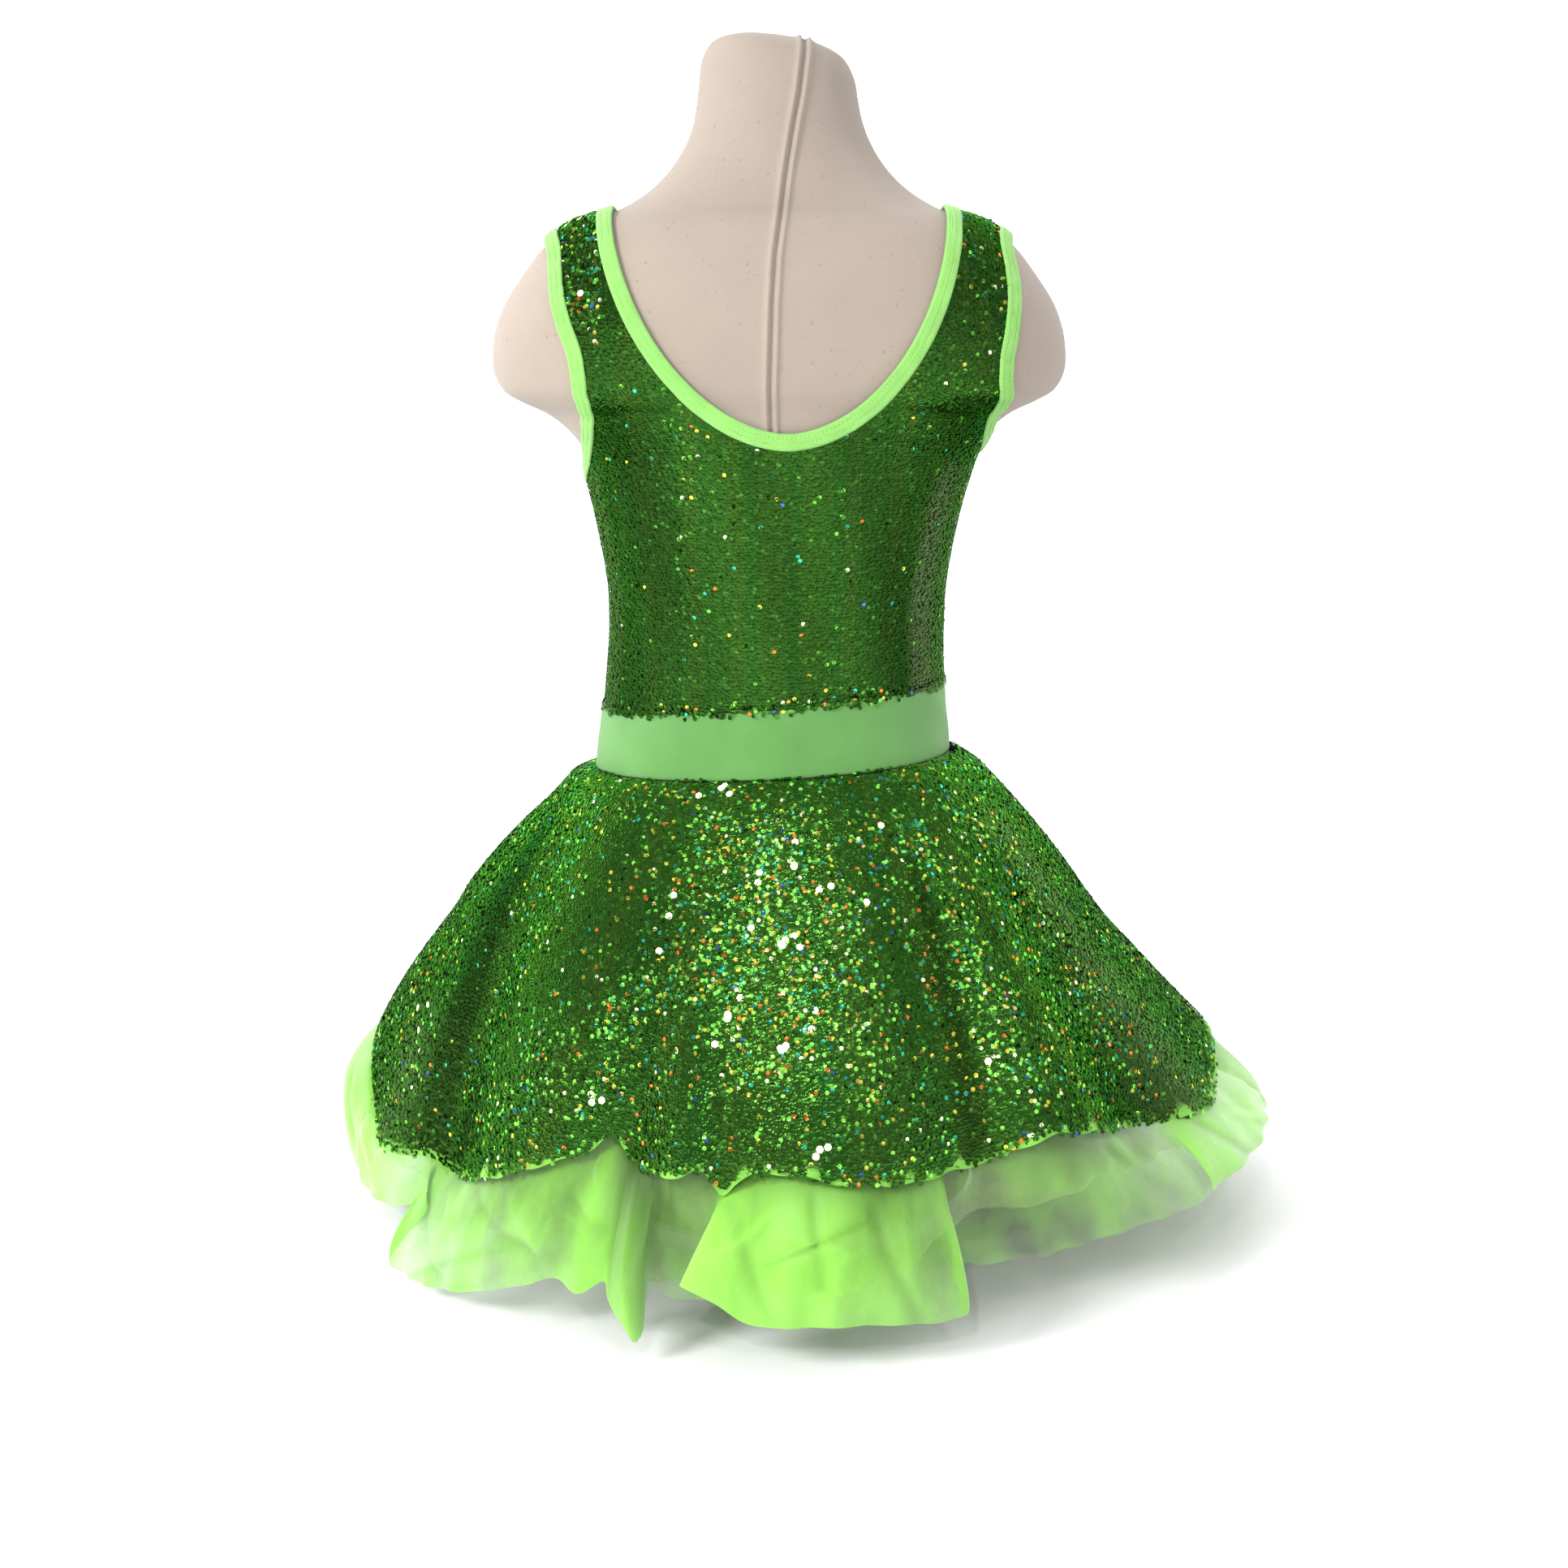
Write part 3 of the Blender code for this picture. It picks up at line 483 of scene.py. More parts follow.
def degrees_from(degrees, at):
    """How far directions lie from another one, from -180 to 180 degrees."""
    return (degrees - at + 180) % 360 - 180


def wrapped(rows):
    """A table of directions with its rows again a turn before and a turn after."""
    before, after = rows.copy(), rows.copy()
    before[:, 0] -= 360
    after[:, 0] += 360
    return np.vstack([before, rows, after])


def around(rows, degrees):
    """The columns of a table of directions, read all the way round."""
    rows = np.array(rows, float)
    rows = wrapped(rows[np.argsort(rows[:, 0])])
    return curve_through(rows[:, 0], rows[:, 1:], np.mod(degrees, 360))


FORM_ROWS = np.array(FORM, float)
FORM_RUN = np.concatenate(
    [[0.0], np.cumsum(np.hypot(np.diff(FORM_ROWS[:, 0]), np.diff(FORM_ROWS[:, 1])))]
)


def section(run):
    """Height, half width, half depth, centre and roundness at a length up the form's side."""
    return np.moveaxis(curve_through(FORM_RUN, FORM_ROWS, run), -1, 0)


RUN_STEPS = np.linspace(0.0, FORM_RUN[-1], 4000)
HEIGHT_STEPS = np.maximum.accumulate(section(RUN_STEPS)[0])


def run_at(height):
    """The length up the form's side at a height."""
    return np.interp(height, HEIGHT_STEPS, RUN_STEPS)


def bare_form(turn, run):
    """A point on the form: turn is the angle from +X in radians, run the length up its side."""
    height, width, depth, centre, power = section(run)
    c, s = np.cos(turn), np.sin(turn)
    reach = (np.abs(c / width) ** power + np.abs(s / depth) ** power) ** (-1 / power)
    slack = np.interp(height, *np.transpose(LEFT_SLACK)) * np.clip(-c, 0, 1) ** 2
    x, y = reach * c - slack, reach * s + centre
    share = np.clip((height - NECK_TILT_FROM) / (NECK_TILT_FULL - NECK_TILT_FROM), 0, 1)
    return np.stack([x, y, height + NECK_TILT * share * x], axis=-1)


def unit(v):
    """Directions of length one."""
    return v / np.maximum(np.linalg.norm(v, axis=-1, keepdims=True), 1e-12)


def form_normal(turn, run):
    """The outward direction of the form."""
    turn, run = np.broadcast_arrays(np.asarray(turn, float), np.asarray(run, float))
    step = SLOPE_STEP
    along = bare_form(turn + step, run) - bare_form(turn - step, run)
    up = bare_form(turn, run + step) - bare_form(turn, run - step)
    return unit(np.cross(along, up))


def on_form(turn, run, out=0.0):
    """A point at a distance out from the form."""
    turn, run = np.broadcast_arrays(np.asarray(turn, float), np.asarray(run, float))
    return bare_form(turn, run) + form_normal(turn, run) * np.asarray(out)[..., None]


def to_form(points):
    """The turn and run of the form's points nearest to the ones given."""
    run = run_at(points[..., 2])
    turn = np.arctan2(points[..., 1] - section(run)[3], points[..., 0])
    step = SLOPE_STEP
    for _ in range(NEAREST_TRIES):
        off = points - bare_form(turn, run)
        along = (bare_form(turn + step, run) - bare_form(turn - step, run)) / (2 * step)
        up = (bare_form(turn, run + step) - bare_form(turn, run - step)) / (2 * step)
        aa, bb, ab = (along ** 2).sum(-1), (up ** 2).sum(-1), (along * up).sum(-1)
        oa, ob = (off * along).sum(-1), (off * up).sum(-1)
        spread = aa * bb - ab ** 2
        turn = turn + (oa * bb - ob * ab) / spread
        run = run + (ob * aa - oa * ab) / spread
    return turn, run


def neck_half(drop, side):
    """Half of the neck edge, from the +X shoulder to the -X one; side -1 is the back."""
    t = np.linspace(0.0, math.pi, 1201)
    across = np.sign(np.cos(t)) * np.abs(np.cos(t)) ** (2 / NECK_ROUND)
    down = np.abs(np.sin(t)) ** (2 / NECK_ROUND)
    x = across * NECK_HALF_WIDTH + NECK_DRIFT * down * drop / NECK_BACK_DROP
    height = NECK_TOP - drop * down
    _, width, depth, centre, power = section(run_at(height))
    share = np.clip(1 - np.abs(x / width) ** power, 0, None)
    return np.stack([x, centre + side * depth * share ** (1 / power), height], axis=1)


def armhole_half(side, front):
    """Half of an armhole's edge, from the shoulder to the underarm; side 1 is +X."""
    rows = np.array(ARMHOLES[side])
    spread = np.concatenate([[0], np.cumsum(np.hypot(*np.diff(rows, axis=0).T))])
    height, depth = curve_through(spread, rows, np.linspace(0, spread[-1], 400)).T
    depth = ARMHOLE_FRONT * depth if front else -depth
    _, width, half, centre, power = section(run_at(height))
    x = width * np.clip(1 - np.abs(depth / half) ** power, 0, None) ** (1 / power)
    return np.stack([side * x, depth + centre, height], axis=1)


def lengths(points):
    """The length of a line up to each of its points."""
    return np.concatenate([[0.0], np.cumsum(np.linalg.norm(np.diff(points, axis=0), axis=1))])


def spaced(points, parts):
    """A line cut into equal parts."""
    length = lengths(points)
    at = np.linspace(0.0, length[-1], parts + 1)
    return np.stack([np.interp(at, length, points[:, k]) for k in range(3)], axis=1)


class Edge:
    """A bound edge: a loop of points on the form, down the back half and up the front one."""

    def __init__(self, back, front, parts):
        self.parts = parts
        self.points = np.vstack([spaced(back, parts)[:-1], spaced(front, parts)[:0:-1]])
        ahead = unit(np.roll(self.points, -1, axis=0) - np.roll(self.points, 1, axis=0))
        for seam in (0, parts):
            ahead[seam] = (0.0, np.sign(ahead[seam, 1]), 0.0)
        turn, run = to_form(self.points)
        self.side = unit(np.cross(form_normal(turn, run), ahead))

    def away_from(self, middle):
        """Turns the sideways direction so that it leads away from a point."""
        if np.sum(self.side * (self.points - middle), axis=1).mean() < 0:
            self.side = -self.side
        return self

    def moved(self, distance):
        """The turn and run of the edge moved sideways over the form."""
        turn, run = to_form(self.points + self.side * distance)
        for seam in (0, self.parts):
            turn[seam] = 0.0 if self.points[seam, 0] > 0 else math.pi
        return turn, run


def neck_line(parts):
    """The edge of the neck."""
    back = neck_half(NECK_BACK_DROP, -1)
    front = neck_half(NECK_FRONT_DROP, 1)
    return Edge(back, front, parts).away_from(np.array([0.0, 0.0, NECK_TOP + 0.2]))


def armhole_line(side, parts):
    """The edge of an armhole; side 1 is +X."""
    edge = Edge(armhole_half(side, False), armhole_half(side, True), parts)
    return edge.away_from(edge.points.mean(axis=0) + np.array([side * 0.2, 0.0, 0.0]))


def middle_turn(back):
    """The direction of the back's or the front's middle line, in radians."""
    return -math.pi / 2 if back else math.pi / 2


def from_middle(turn, back):
    """The angle from the back or front middle line, in radians."""
    return (turn - middle_turn(back) + math.pi) % (2 * math.pi) - math.pi


def seam_shift(back):
    """How far a half stands off the side seams, along Y."""
    return SEAM_GAP * (-0.5 if back else 0.5)


def part_of(values, first, last):
    """Items of a loop from one place to another, both included, in either direction."""
    step = 1 if last >= first else -1
    return values[np.arange(first, last + step, step) % len(values)]


def ruled(first, last, count):
    """Rows between two lines of turn and run."""
    share = np.linspace(0, 1, count + 1)[:, None, None]
    return np.array(first)[None] * (1 - share) + np.array(last)[None] * share


def level(height, rise, turn):
    """The run on the form of a line that is level but for its rise towards +X."""
    x = bare_form(turn, run_at(height) * np.ones_like(turn))[..., 0]
    return run_at(height + rise * x)


def bumps(rows, turn, weight):
    """The sum of a table's folds at each direction."""
    total = np.zeros(np.broadcast(turn, weight(rows[0])).shape)
    for row in rows:
        off = degrees_from(np.degrees(turn), row[0])
        total += row[1] * np.exp(-(off / row[2]) ** 2) * weight(row)
    return total


def skirt_surface(turn, down):
    """The skirt's inner face; down runs from 0 at the waist seam to 1 at the hem."""
    run = level(BAND_FOOT - SKIRT_BELOW, BAND_FOOT_RISE, turn)
    start = on_form(turn, run, SKIRT_OUT)
    near = np.hypot(start[..., 0], start[..., 1])
    reach, height, hang = np.moveaxis(around(SKIRT_HEM, np.degrees(turn)), -1, 0)
    out = 1 - (1 - np.clip(down, 0, 1)) ** (1 + SKIRT_ROUNDING * hang)
    drop = np.clip(down, 0, 1) ** (SKIRT_FALL + SKIRT_HANG_FALL * hang)
    radius = near + (reach - near) * out
    radius = radius + bumps(
        FOLDS, turn,
        lambda row: np.clip((down - row[3]) / (1 - row[3]), 0, 1) ** FOLD_GROWTH
    )
    height = start[..., 2] + (height - start[..., 2]) * drop
    return np.stack([radius * np.cos(turn), radius * np.sin(turn), height], axis=-1)


def flare_normal(surface, turn, down):
    """The outward direction of a flared surface."""
    turn, down = np.broadcast_arrays(turn, down)
    step = SLOPE_STEP
    inside = np.clip(down, step, LAST_DOWN[surface] - step)
    along = surface(turn + step, down) - surface(turn - step, down)
    fall = surface(turn, inside - step) - surface(turn, inside + step)
    return unit(np.cross(along, fall))


def moved_out(surface, turn, down, distance):
    """Points of a flared surface moved outwards along its normals."""
    turn, down = np.broadcast_arrays(turn, down)
    out = flare_normal(surface, turn, down) * np.asarray(distance)[..., None]
    return surface(turn, down) + out


def outer_petticoat(turn, down):
    """The outer petticoat's outer face, under the skirt to down 1 and on to its own hem at 2."""
    under = np.clip(down, 0, 1)
    beyond = np.clip(down - 1, 0, 1)
    gap = PETTICOAT_GAP + PETTICOAT_EASE * under
    top = moved_out(skirt_surface, turn, under, -gap)
    radius = np.hypot(top[..., 0], top[..., 1])
    reach, height = np.moveaxis(around(PETTICOAT_HEM, np.degrees(turn)), -1, 0)
    radius = radius + (reach - radius) * (1 - (1 - beyond) ** HEM_ROUNDING)
    radius = radius + bumps(WAVES, turn, lambda row: beyond ** WAVE_GROWTH)
    height = top[..., 2] + (height - top[..., 2]) * beyond
    return np.stack([radius * np.cos(turn), radius * np.sin(turn), height], axis=-1)


def side_reach(degrees, down):
    """How much further out the flare stands at its sides, from the waist to the hem."""
    down = np.clip(down, 0, 1)
    _, left, right = np.moveaxis(
        curve_through(np.array(SIDE_PUFF)[:, 0], np.array(SIDE_PUFF), down), -1, 0)
    off_left = degrees_from(degrees, 185)
    off_right = degrees_from(degrees, -5)
    puff = left * np.exp(-(off_left / SIDE_SPREAD) ** 2)
    puff = puff + right * np.exp(-(off_right / SIDE_SPREAD) ** 2)
    off_valley = degrees_from(degrees, 209)
    puff = puff - 0.006 * np.exp(-(off_valley / 7) ** 2) * down ** 1.2
    return around(SIDE_REACH, degrees)[..., 0] * down ** 3 + puff


def trimmed_skirt(turn, down):
    """The skirt's inner face with the hem's own unevenness and its wider sides."""
    turn, down = np.broadcast_arrays(np.asarray(turn, float), np.asarray(down, float))
    points = skirt_surface(turn, down)
    degrees = np.degrees(turn)
    longer = around(SKIRT_TRIM, degrees)[..., 0]
    wider = side_reach(degrees, down)
    near = 1 + wider / np.hypot(points[..., 0], points[..., 1])
    drop = longer * np.clip(down, 0, 1) ** 4
    return np.stack([points[..., 0] * near, points[..., 1] * near, points[..., 2] - drop], -1)


def folded_petticoat(place, down):
    """The outer petticoat with its hand folds; place is in degrees on the skirt's hem."""
    place, down = np.broadcast_arrays(np.asarray(place, float), np.asarray(down, float))
    beyond = np.clip(down - 1, 0, 1)
    turn, out, height, _ = np.moveaxis(hem_path(place), -1, 0)
    sheer = beyond ** 0.85
    at = np.radians(place + (turn - place) * sheer)
    top = outer_petticoat(np.radians(place), np.clip(down, 0, 1))
    radius = np.hypot(top[..., 0], top[..., 1])
    longer = around(SKIRT_TRIM, place)[..., 0]
    radius = radius + side_reach(place, down)
    reach = around(PETTICOAT_HEM, turn)[..., 0] + around(SIDE_REACH, turn)[..., 0] + out
    billow = 0.006 * np.sin(math.pi * beyond) * np.clip(out / 0.01, -0.3, 1.0)
    billow = billow + 0.012 * np.sin(math.pi * beyond ** 0.7) * np.exp(
        -((place - 182) / 13) ** 2)
    radius = radius + (reach - radius) * (1 - (1 - beyond) ** HEM_ROUNDING) + billow
    radius = radius + creases(place, beyond)
    rise = top[..., 2] - 0.6 * longer * np.clip(down, 0, 1) ** 4
    level_at = rise + (height - rise) * beyond
    return np.stack([radius * np.cos(at), radius * np.sin(at), level_at], axis=-1)


def creases(place, beyond):
    """How far the hand-made creases swing the petticoat out, soft at both ends."""
    total = np.zeros(np.broadcast(place, beyond).shape)
    for first, top, last, foot, half, swing in CREASES:
        share = np.clip((beyond - min(top, foot)) / abs(foot - top), 0, 1)
        if top > foot:
            share = 1 - share
        off = place - (first + (last - first) * share)
        fade = np.clip((beyond - min(top, foot)) / 0.1, 0, 1)
        fade = fade * np.clip((max(top, foot) + 0.1 - beyond) / 0.1, 0, 1)
        total = total + swing * np.exp(-(off / half) ** 2) * fade
    return total


def hem_path(place):
    """Turn in degrees, way out, height and cover of the petticoat's hem at each place."""
    rows = np.array(HEM_PATH, float)
    rows[:, 1] -= rows[:, 0]
    rows = wrapped(rows)
    values = curve_through(rows[:, 0], rows[:, 1:], np.mod(place, 360))
    values[..., 0] += place
    return values


LAST_DOWN = {skirt_surface: 1.0, outer_petticoat: 2.0, trimmed_skirt: 1.0}


def inside_form(points):
    """Which points lie inside the form."""
    _, width, depth, centre, power = section(run_at(points[..., 2]))
    level_share = (
        np.abs(points[..., 0] / width) ** power
        + np.abs((points[..., 1] - centre) / depth) ** power
    )
    return (level_share < 1) & (points[..., 2] > FORM_BOTTOM)


def brief_point(row, across, back):
    """The form's surface met by a ray; row counts down the brief's table, across is -1 to 1."""
    height, tilt, spread = np.moveaxis(
        curve_through(np.arange(len(BRIEF)), np.array(BRIEF), row), -1, 0
    )
    tilt, side = np.radians(tilt), np.radians(np.minimum(spread, 90)) * across
    forward = np.cos(side) * np.cos(tilt) * (-1 if back else 1)
    ray = np.stack([np.sin(side), forward, -np.cos(side) * np.sin(tilt)], axis=-1)
    rise = BAND_FOOT_RISE * BRIEF_TOP_REACH * np.sin(side)
    height = height + rise * np.clip(1 - row / BRIEF_LEVEL_ROW, 0, 1)
    start = np.stack([np.zeros_like(height), np.zeros_like(height), height], axis=-1)
    near, far = np.zeros_like(height), np.full_like(height, RAY_REACH)
    for _ in range(RAY_TRIES):
        middle = (near + far) / 2
        inside = inside_form(start + ray * middle[..., None])
        near, far = np.where(inside, middle, near), np.where(inside, far, middle)
    return start + ray * near[..., None]


# Making meshes

def put_together(name, corners, faces, looks, flat=None, marks=None, smooth=True):
    """A mesh object from corners and faces, with a flat map in metres and corner colours."""
    corners = np.asarray(corners, np.float32).reshape(-1, 3)
    faces = np.asarray(faces, np.int32)
    count, sides = faces.shape
    mesh = bpy.data.meshes.new(name)
    mesh.vertices.add(len(corners))
    mesh.vertices.foreach_set("co", corners.ravel())
    mesh.loops.add(count * sides)
    mesh.loops.foreach_set("vertex_index", faces.ravel())
    mesh.polygons.add(count)
    mesh.polygons.foreach_set("loop_start", np.arange(count, dtype=np.int32) * sides)
    mesh.update(calc_edges=True)
    if smooth:
        mesh.polygons.foreach_set("use_smooth", np.ones(count, bool))
    if flat is not None:
        layer = mesh.uv_layers.new(name="flat")
        layer.data.foreach_set("uv", np.asarray(flat, np.float32)[faces.ravel()].ravel())
    for mark, values in (marks or {}).items():
        values = np.asarray(values, np.float32)
        if values.ndim == 1:
            layer = mesh.attributes.new(mark, "FLOAT", "POINT")
            layer.data.foreach_set("value", values)
        else:
            layer = mesh.color_attributes.new(mark, "FLOAT_COLOR", "POINT")
            layer.data.foreach_set("color", values.ravel())
    mesh.validate()
    for look in looks:
        mesh.materials.append(look)
    made = bpy.data.objects.new(name, mesh)
    bpy.context.scene.collection.objects.link(made)
    return made


def grid_faces(rows, columns, closed=False, first=0):
    """Quads of a grid whose columns run to the right and whose rows run up, facing out."""
    r = np.arange(rows - 1)[:, None] * columns
    wide = columns if closed else columns - 1
    c = np.arange(wide)[None, :]
    d = (c + 1) % columns
    quads = np.stack([r + c, r + d, r + columns + d, r + columns + c], axis=-1)
    return quads.reshape(-1, 4) + first


def merged(patches):
    """Corners, flat map and quads of grids that share some of their edges."""
    corners = np.concatenate([p.reshape(-1, 3) for p, _ in patches])
    flat = np.concatenate([f.reshape(-1, 2) for _, f in patches])
    faces, first = [], 0
    for points, _ in patches:
        faces.append(grid_faces(*points.shape[:2], first=first))
        first += points.shape[0] * points.shape[1]
    faces = np.concatenate(faces)
    _, keep, places = np.unique(
        np.round(corners, 6), axis=0, return_index=True, return_inverse=True
    )
    faces = places.reshape(-1)[faces]
    same = (faces == np.roll(faces, 1, axis=1)).any(axis=1)
    return corners[keep], flat[keep], faces[~same]


def measured(piece):
    """The area of a piece's faces."""
    mesh = piece.data
    areas = np.zeros(len(mesh.polygons))
    mesh.polygons.foreach_get("area", areas)
    return float(areas.sum())


def cut_area(piece, wide, tall):
    """The piece's own area, kept within what its flat cut can have."""
    return min(max(measured(piece), LEAST_CUT_SHARE * wide * tall), wide * tall)


def settle(piece, slot, *nodes):
    """Rides on the object and stands for its solids if any, which it hides; the slot is not used.
    """
    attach(piece, "root")
    if nodes:
        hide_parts(*nodes)
    return piece


def sector_cut(top, hem, length):
    """Width and length of the flat sector that gathers to a flare."""
    angle = max((hem - top) / length, 0.2)
    inner = top / angle
    outer = inner + length
    wide = 2 * outer * (math.sin(angle / 2) if angle < math.pi else 1.0)
    tall = outer - inner * math.cos(angle / 2) if angle < math.pi else outer * (
        1 - math.cos(angle / 2))
    return wide, tall


def declare_flare(piece, grid):
    """Works out the cut of a flared half from its own rows, first at the waist; the result is not
    kept.
    """
    top, hem = lengths(grid[0])[-1], lengths(grid[-1])[-1]
    drop = float(np.mean([lengths(grid[:, c])[-1] for c in range(0, grid.shape[1], 7)]))
    wide, tall = sector_cut(top, hem, drop)
    cut_area(piece, wide, tall)


# Materials

def new_look(name, colour, roughness, metallic=0.0):
    """A plain material, its nodes and its shader."""
    made = bpy.data.materials.new(name)
    made.use_nodes = True
    shader = made.node_tree.nodes["Principled BSDF"]
    shader.inputs["Base Color"].default_value = (*colour, 1.0)
    shader.inputs["Roughness"].default_value = roughness
    shader.inputs["Metallic"].default_value = metallic
    return made, made.node_tree, shader


def new_group(name, inputs, outputs):
    """A shader group with its sockets; inputs are name, kind and default."""
    group = bpy.data.node_groups.new(name, "ShaderNodeTree")
    for label, kind, default in inputs:
        socket = group.interface.new_socket(label, in_out="INPUT", socket_type=kind)
        socket.default_value = default
    for label, kind in outputs:
        group.interface.new_socket(label, in_out="OUTPUT", socket_type=kind)
    source = group.nodes.new("NodeGroupInput")
    target = group.nodes.new("NodeGroupOutput")
    source.location, target.location = (-900, 0), (500, 0)
    return group, source, target


def maths(tree, kind, first, second=None, clamp=False):
    node = tree.nodes.new("ShaderNodeMath")
    node.operation = kind
    node.use_clamp = clamp
    for socket, value in zip(node.inputs, (first, second)):
        if value is None:
            continue
        if isinstance(value, (int, float)):
            socket.default_value = value
        else:
            tree.links.new(value, socket)
    return node.outputs[0]


def knit_group():
    """Fine threads that cross at right angles on the flat map."""
    group, source, target = new_group(
        "crossed threads",
        (("Vector", "NodeSocketVector", (0, 0, 0)), ("Threads", "NodeSocketFloat", 1200.0)),
        (("Height", "NodeSocketFloat"),),
    )
    waves = []
    for direction in ("X", "Y"):
        wave = group.nodes.new("ShaderNodeTexWave")
        wave.wave_type = "BANDS"
        wave.bands_direction = direction
        wave.inputs["Distortion"].default_value = 0.0
        group.links.new(source.outputs["Vector"], wave.inputs["Vector"])
        group.links.new(source.outputs["Threads"], wave.inputs["Scale"])
        waves.append(wave.outputs["Fac"])
    group.links.new(maths(group, "MULTIPLY", waves[0], waves[1]), target.inputs["Height"])
    return group


def patches_group():
    """A colour that drifts softly between two over the surface."""
    group, source, target = new_group(
        "soft patches",
        (
            ("Vector", "NodeSocketVector", (0, 0, 0)),
            ("Scale", "NodeSocketFloat", 20.0),
            ("First", "NodeSocketColor", (0.5, 0.5, 0.5, 1)),
            ("Second", "NodeSocketColor", (0.6, 0.6, 0.6, 1)),
        ),
        (("Color", "NodeSocketColor"), ("Mask", "NodeSocketFloat")),
    )
    noise = group.nodes.new("ShaderNodeTexNoise")
    noise.inputs["Detail"].default_value = 4.0
    group.links.new(source.outputs["Vector"], noise.inputs["Vector"])
    group.links.new(source.outputs["Scale"], noise.inputs["Scale"])
    spread = group.nodes.new("ShaderNodeMapRange")
    spread.inputs["From Min"].default_value = 0.32
    spread.inputs["From Max"].default_value = 0.68
    group.links.new(noise.outputs["Fac"], spread.inputs["Value"])
    mix = group.nodes.new("ShaderNodeMix")
    mix.data_type = "RGBA"
    group.links.new(spread.outputs["Result"], mix.inputs["Factor"])
    group.links.new(source.outputs["First"], mix.inputs["A"])
    group.links.new(source.outputs["Second"], mix.inputs["B"])
    group.links.new(mix.outputs["Result"], target.inputs["Color"])
    group.links.new(spread.outputs["Result"], target.inputs["Mask"])
    return group


def place_group(tree, name, make):
    group = bpy.data.node_groups.get(name) or make()
    node = tree.nodes.new("ShaderNodeGroup")
    node.node_tree = group
    return node


def patchy_colour(tree, shader, first, second, scale):
    """Sends a softly drifting colour to the shader; reads Object coordinates."""
    place = tree.nodes.new("ShaderNodeTexCoord")
    node = place_group(tree, "soft patches", patches_group)
    node.inputs["Scale"].default_value = scale
    node.inputs["First"].default_value = (*first, 1)
    node.inputs["Second"].default_value = (*second, 1)
    tree.links.new(place.outputs["Object"], node.inputs["Vector"])
    tree.links.new(node.outputs["Color"], shader.inputs["Base Color"])
    return node


def threads_bump(tree, shader, threads, depth, strength=1.0):
    """Bumps a surface with crossed threads of its own flat map."""
    place = tree.nodes.new("ShaderNodeUVMap")
    place.uv_map = "flat"
    node = place_group(tree, "crossed threads", knit_group)
    node.inputs["Threads"].default_value = threads
    bump = tree.nodes.new("ShaderNodeBump")
    bump.inputs["Distance"].default_value = depth
    bump.inputs["Strength"].default_value = strength
    tree.links.new(place.outputs["UV"], node.inputs["Vector"])
    tree.links.new(node.outputs["Height"], bump.inputs["Height"])
    tree.links.new(bump.outputs["Normal"], shader.inputs["Normal"])
    return node, bump


def jersey_look(colours):
    made, tree, shader = new_look("form jersey", colours.jersey, 0.9)
    shade = [c * 0.9 for c in colours.jersey]
    drift = patchy_colour(tree, shader, colours.jersey, shade, 14.0)
    place = tree.nodes.new("ShaderNodeTexCoord")
    fleck = tree.nodes.new("ShaderNodeTexNoise")
    fleck.inputs["Scale"].default_value = 420.0
    fleck.inputs["Detail"].default_value = 1.0
    spots = tree.nodes.new("ShaderNodeMapRange")
    spots.inputs["From Min"].default_value = 0.68
    spots.inputs["From Max"].default_value = 0.80
    mix = tree.nodes.new("ShaderNodeMix")
    mix.data_type = "RGBA"
    mix.inputs["B"].default_value = (*[c * 0.70 for c in colours.jersey], 1)
    tree.links.new(place.outputs["Object"], fleck.inputs["Vector"])
    tree.links.new(fleck.outputs["Fac"], spots.inputs["Value"])
    tree.links.new(spots.outputs["Result"], mix.inputs["Factor"])
    tree.links.new(drift.outputs["Color"], mix.inputs["A"])
    tree.links.new(mix.outputs["Result"], shader.inputs["Base Color"])
    threads_bump(tree, shader, 700.0, 0.00012)
    shader.inputs["Sheen Weight"].default_value = 0.25
    shader.inputs["Sheen Roughness"].default_value = 0.5
    return made


def tape_look(colours):
    made, tree, shader = new_look("lime binding tape", colours.binding, 0.5)
    shade = [c * 0.86 for c in colours.binding]
    patchy_colour(tree, shader, colours.binding, shade, 60.0)
    threads_bump(tree, shader, 1400.0, 0.00012)
    shader.inputs["Sheen Weight"].default_value = 0.2
    return made


def band_look(colours):
    made, tree, shader = new_look("lime band cloth", colours.band, 0.55)
    shade = [c * 0.82 for c in colours.band]
    patchy_colour(tree, shader, colours.band, shade, 26.0)
    threads_bump(tree, shader, 1500.0, 0.00010)
    shader.inputs["Sheen Weight"].default_value = 0.15
    return made


def ground_look(colours):
    """Stretch cloth, with painted shade where sequins lie over it."""
    made, tree, shader = new_look("sequin ground cloth", colours.ground, 0.6)
    shade = [c * 0.8 for c in colours.ground]
    drift = patchy_colour(tree, shader, colours.ground, shade, 40.0)
    # painted shade: the cloth is darkened where sequins lie over it
    mark = tree.nodes.new("ShaderNodeAttribute")
    mark.attribute_name = "sequin_shade"
    mix = tree.nodes.new("ShaderNodeMix")
    mix.data_type = "RGBA"
    mix.inputs["B"].default_value = (*[c * 0.20 for c in colours.ground], 1)
    tree.links.new(mark.outputs["Fac"], mix.inputs["Factor"])
    tree.links.new(drift.outputs["Color"], mix.inputs["A"])
    tree.links.new(mix.outputs["Result"], shader.inputs["Base Color"])
    threads_bump(tree, shader, 1500.0, 0.00012)
    return made


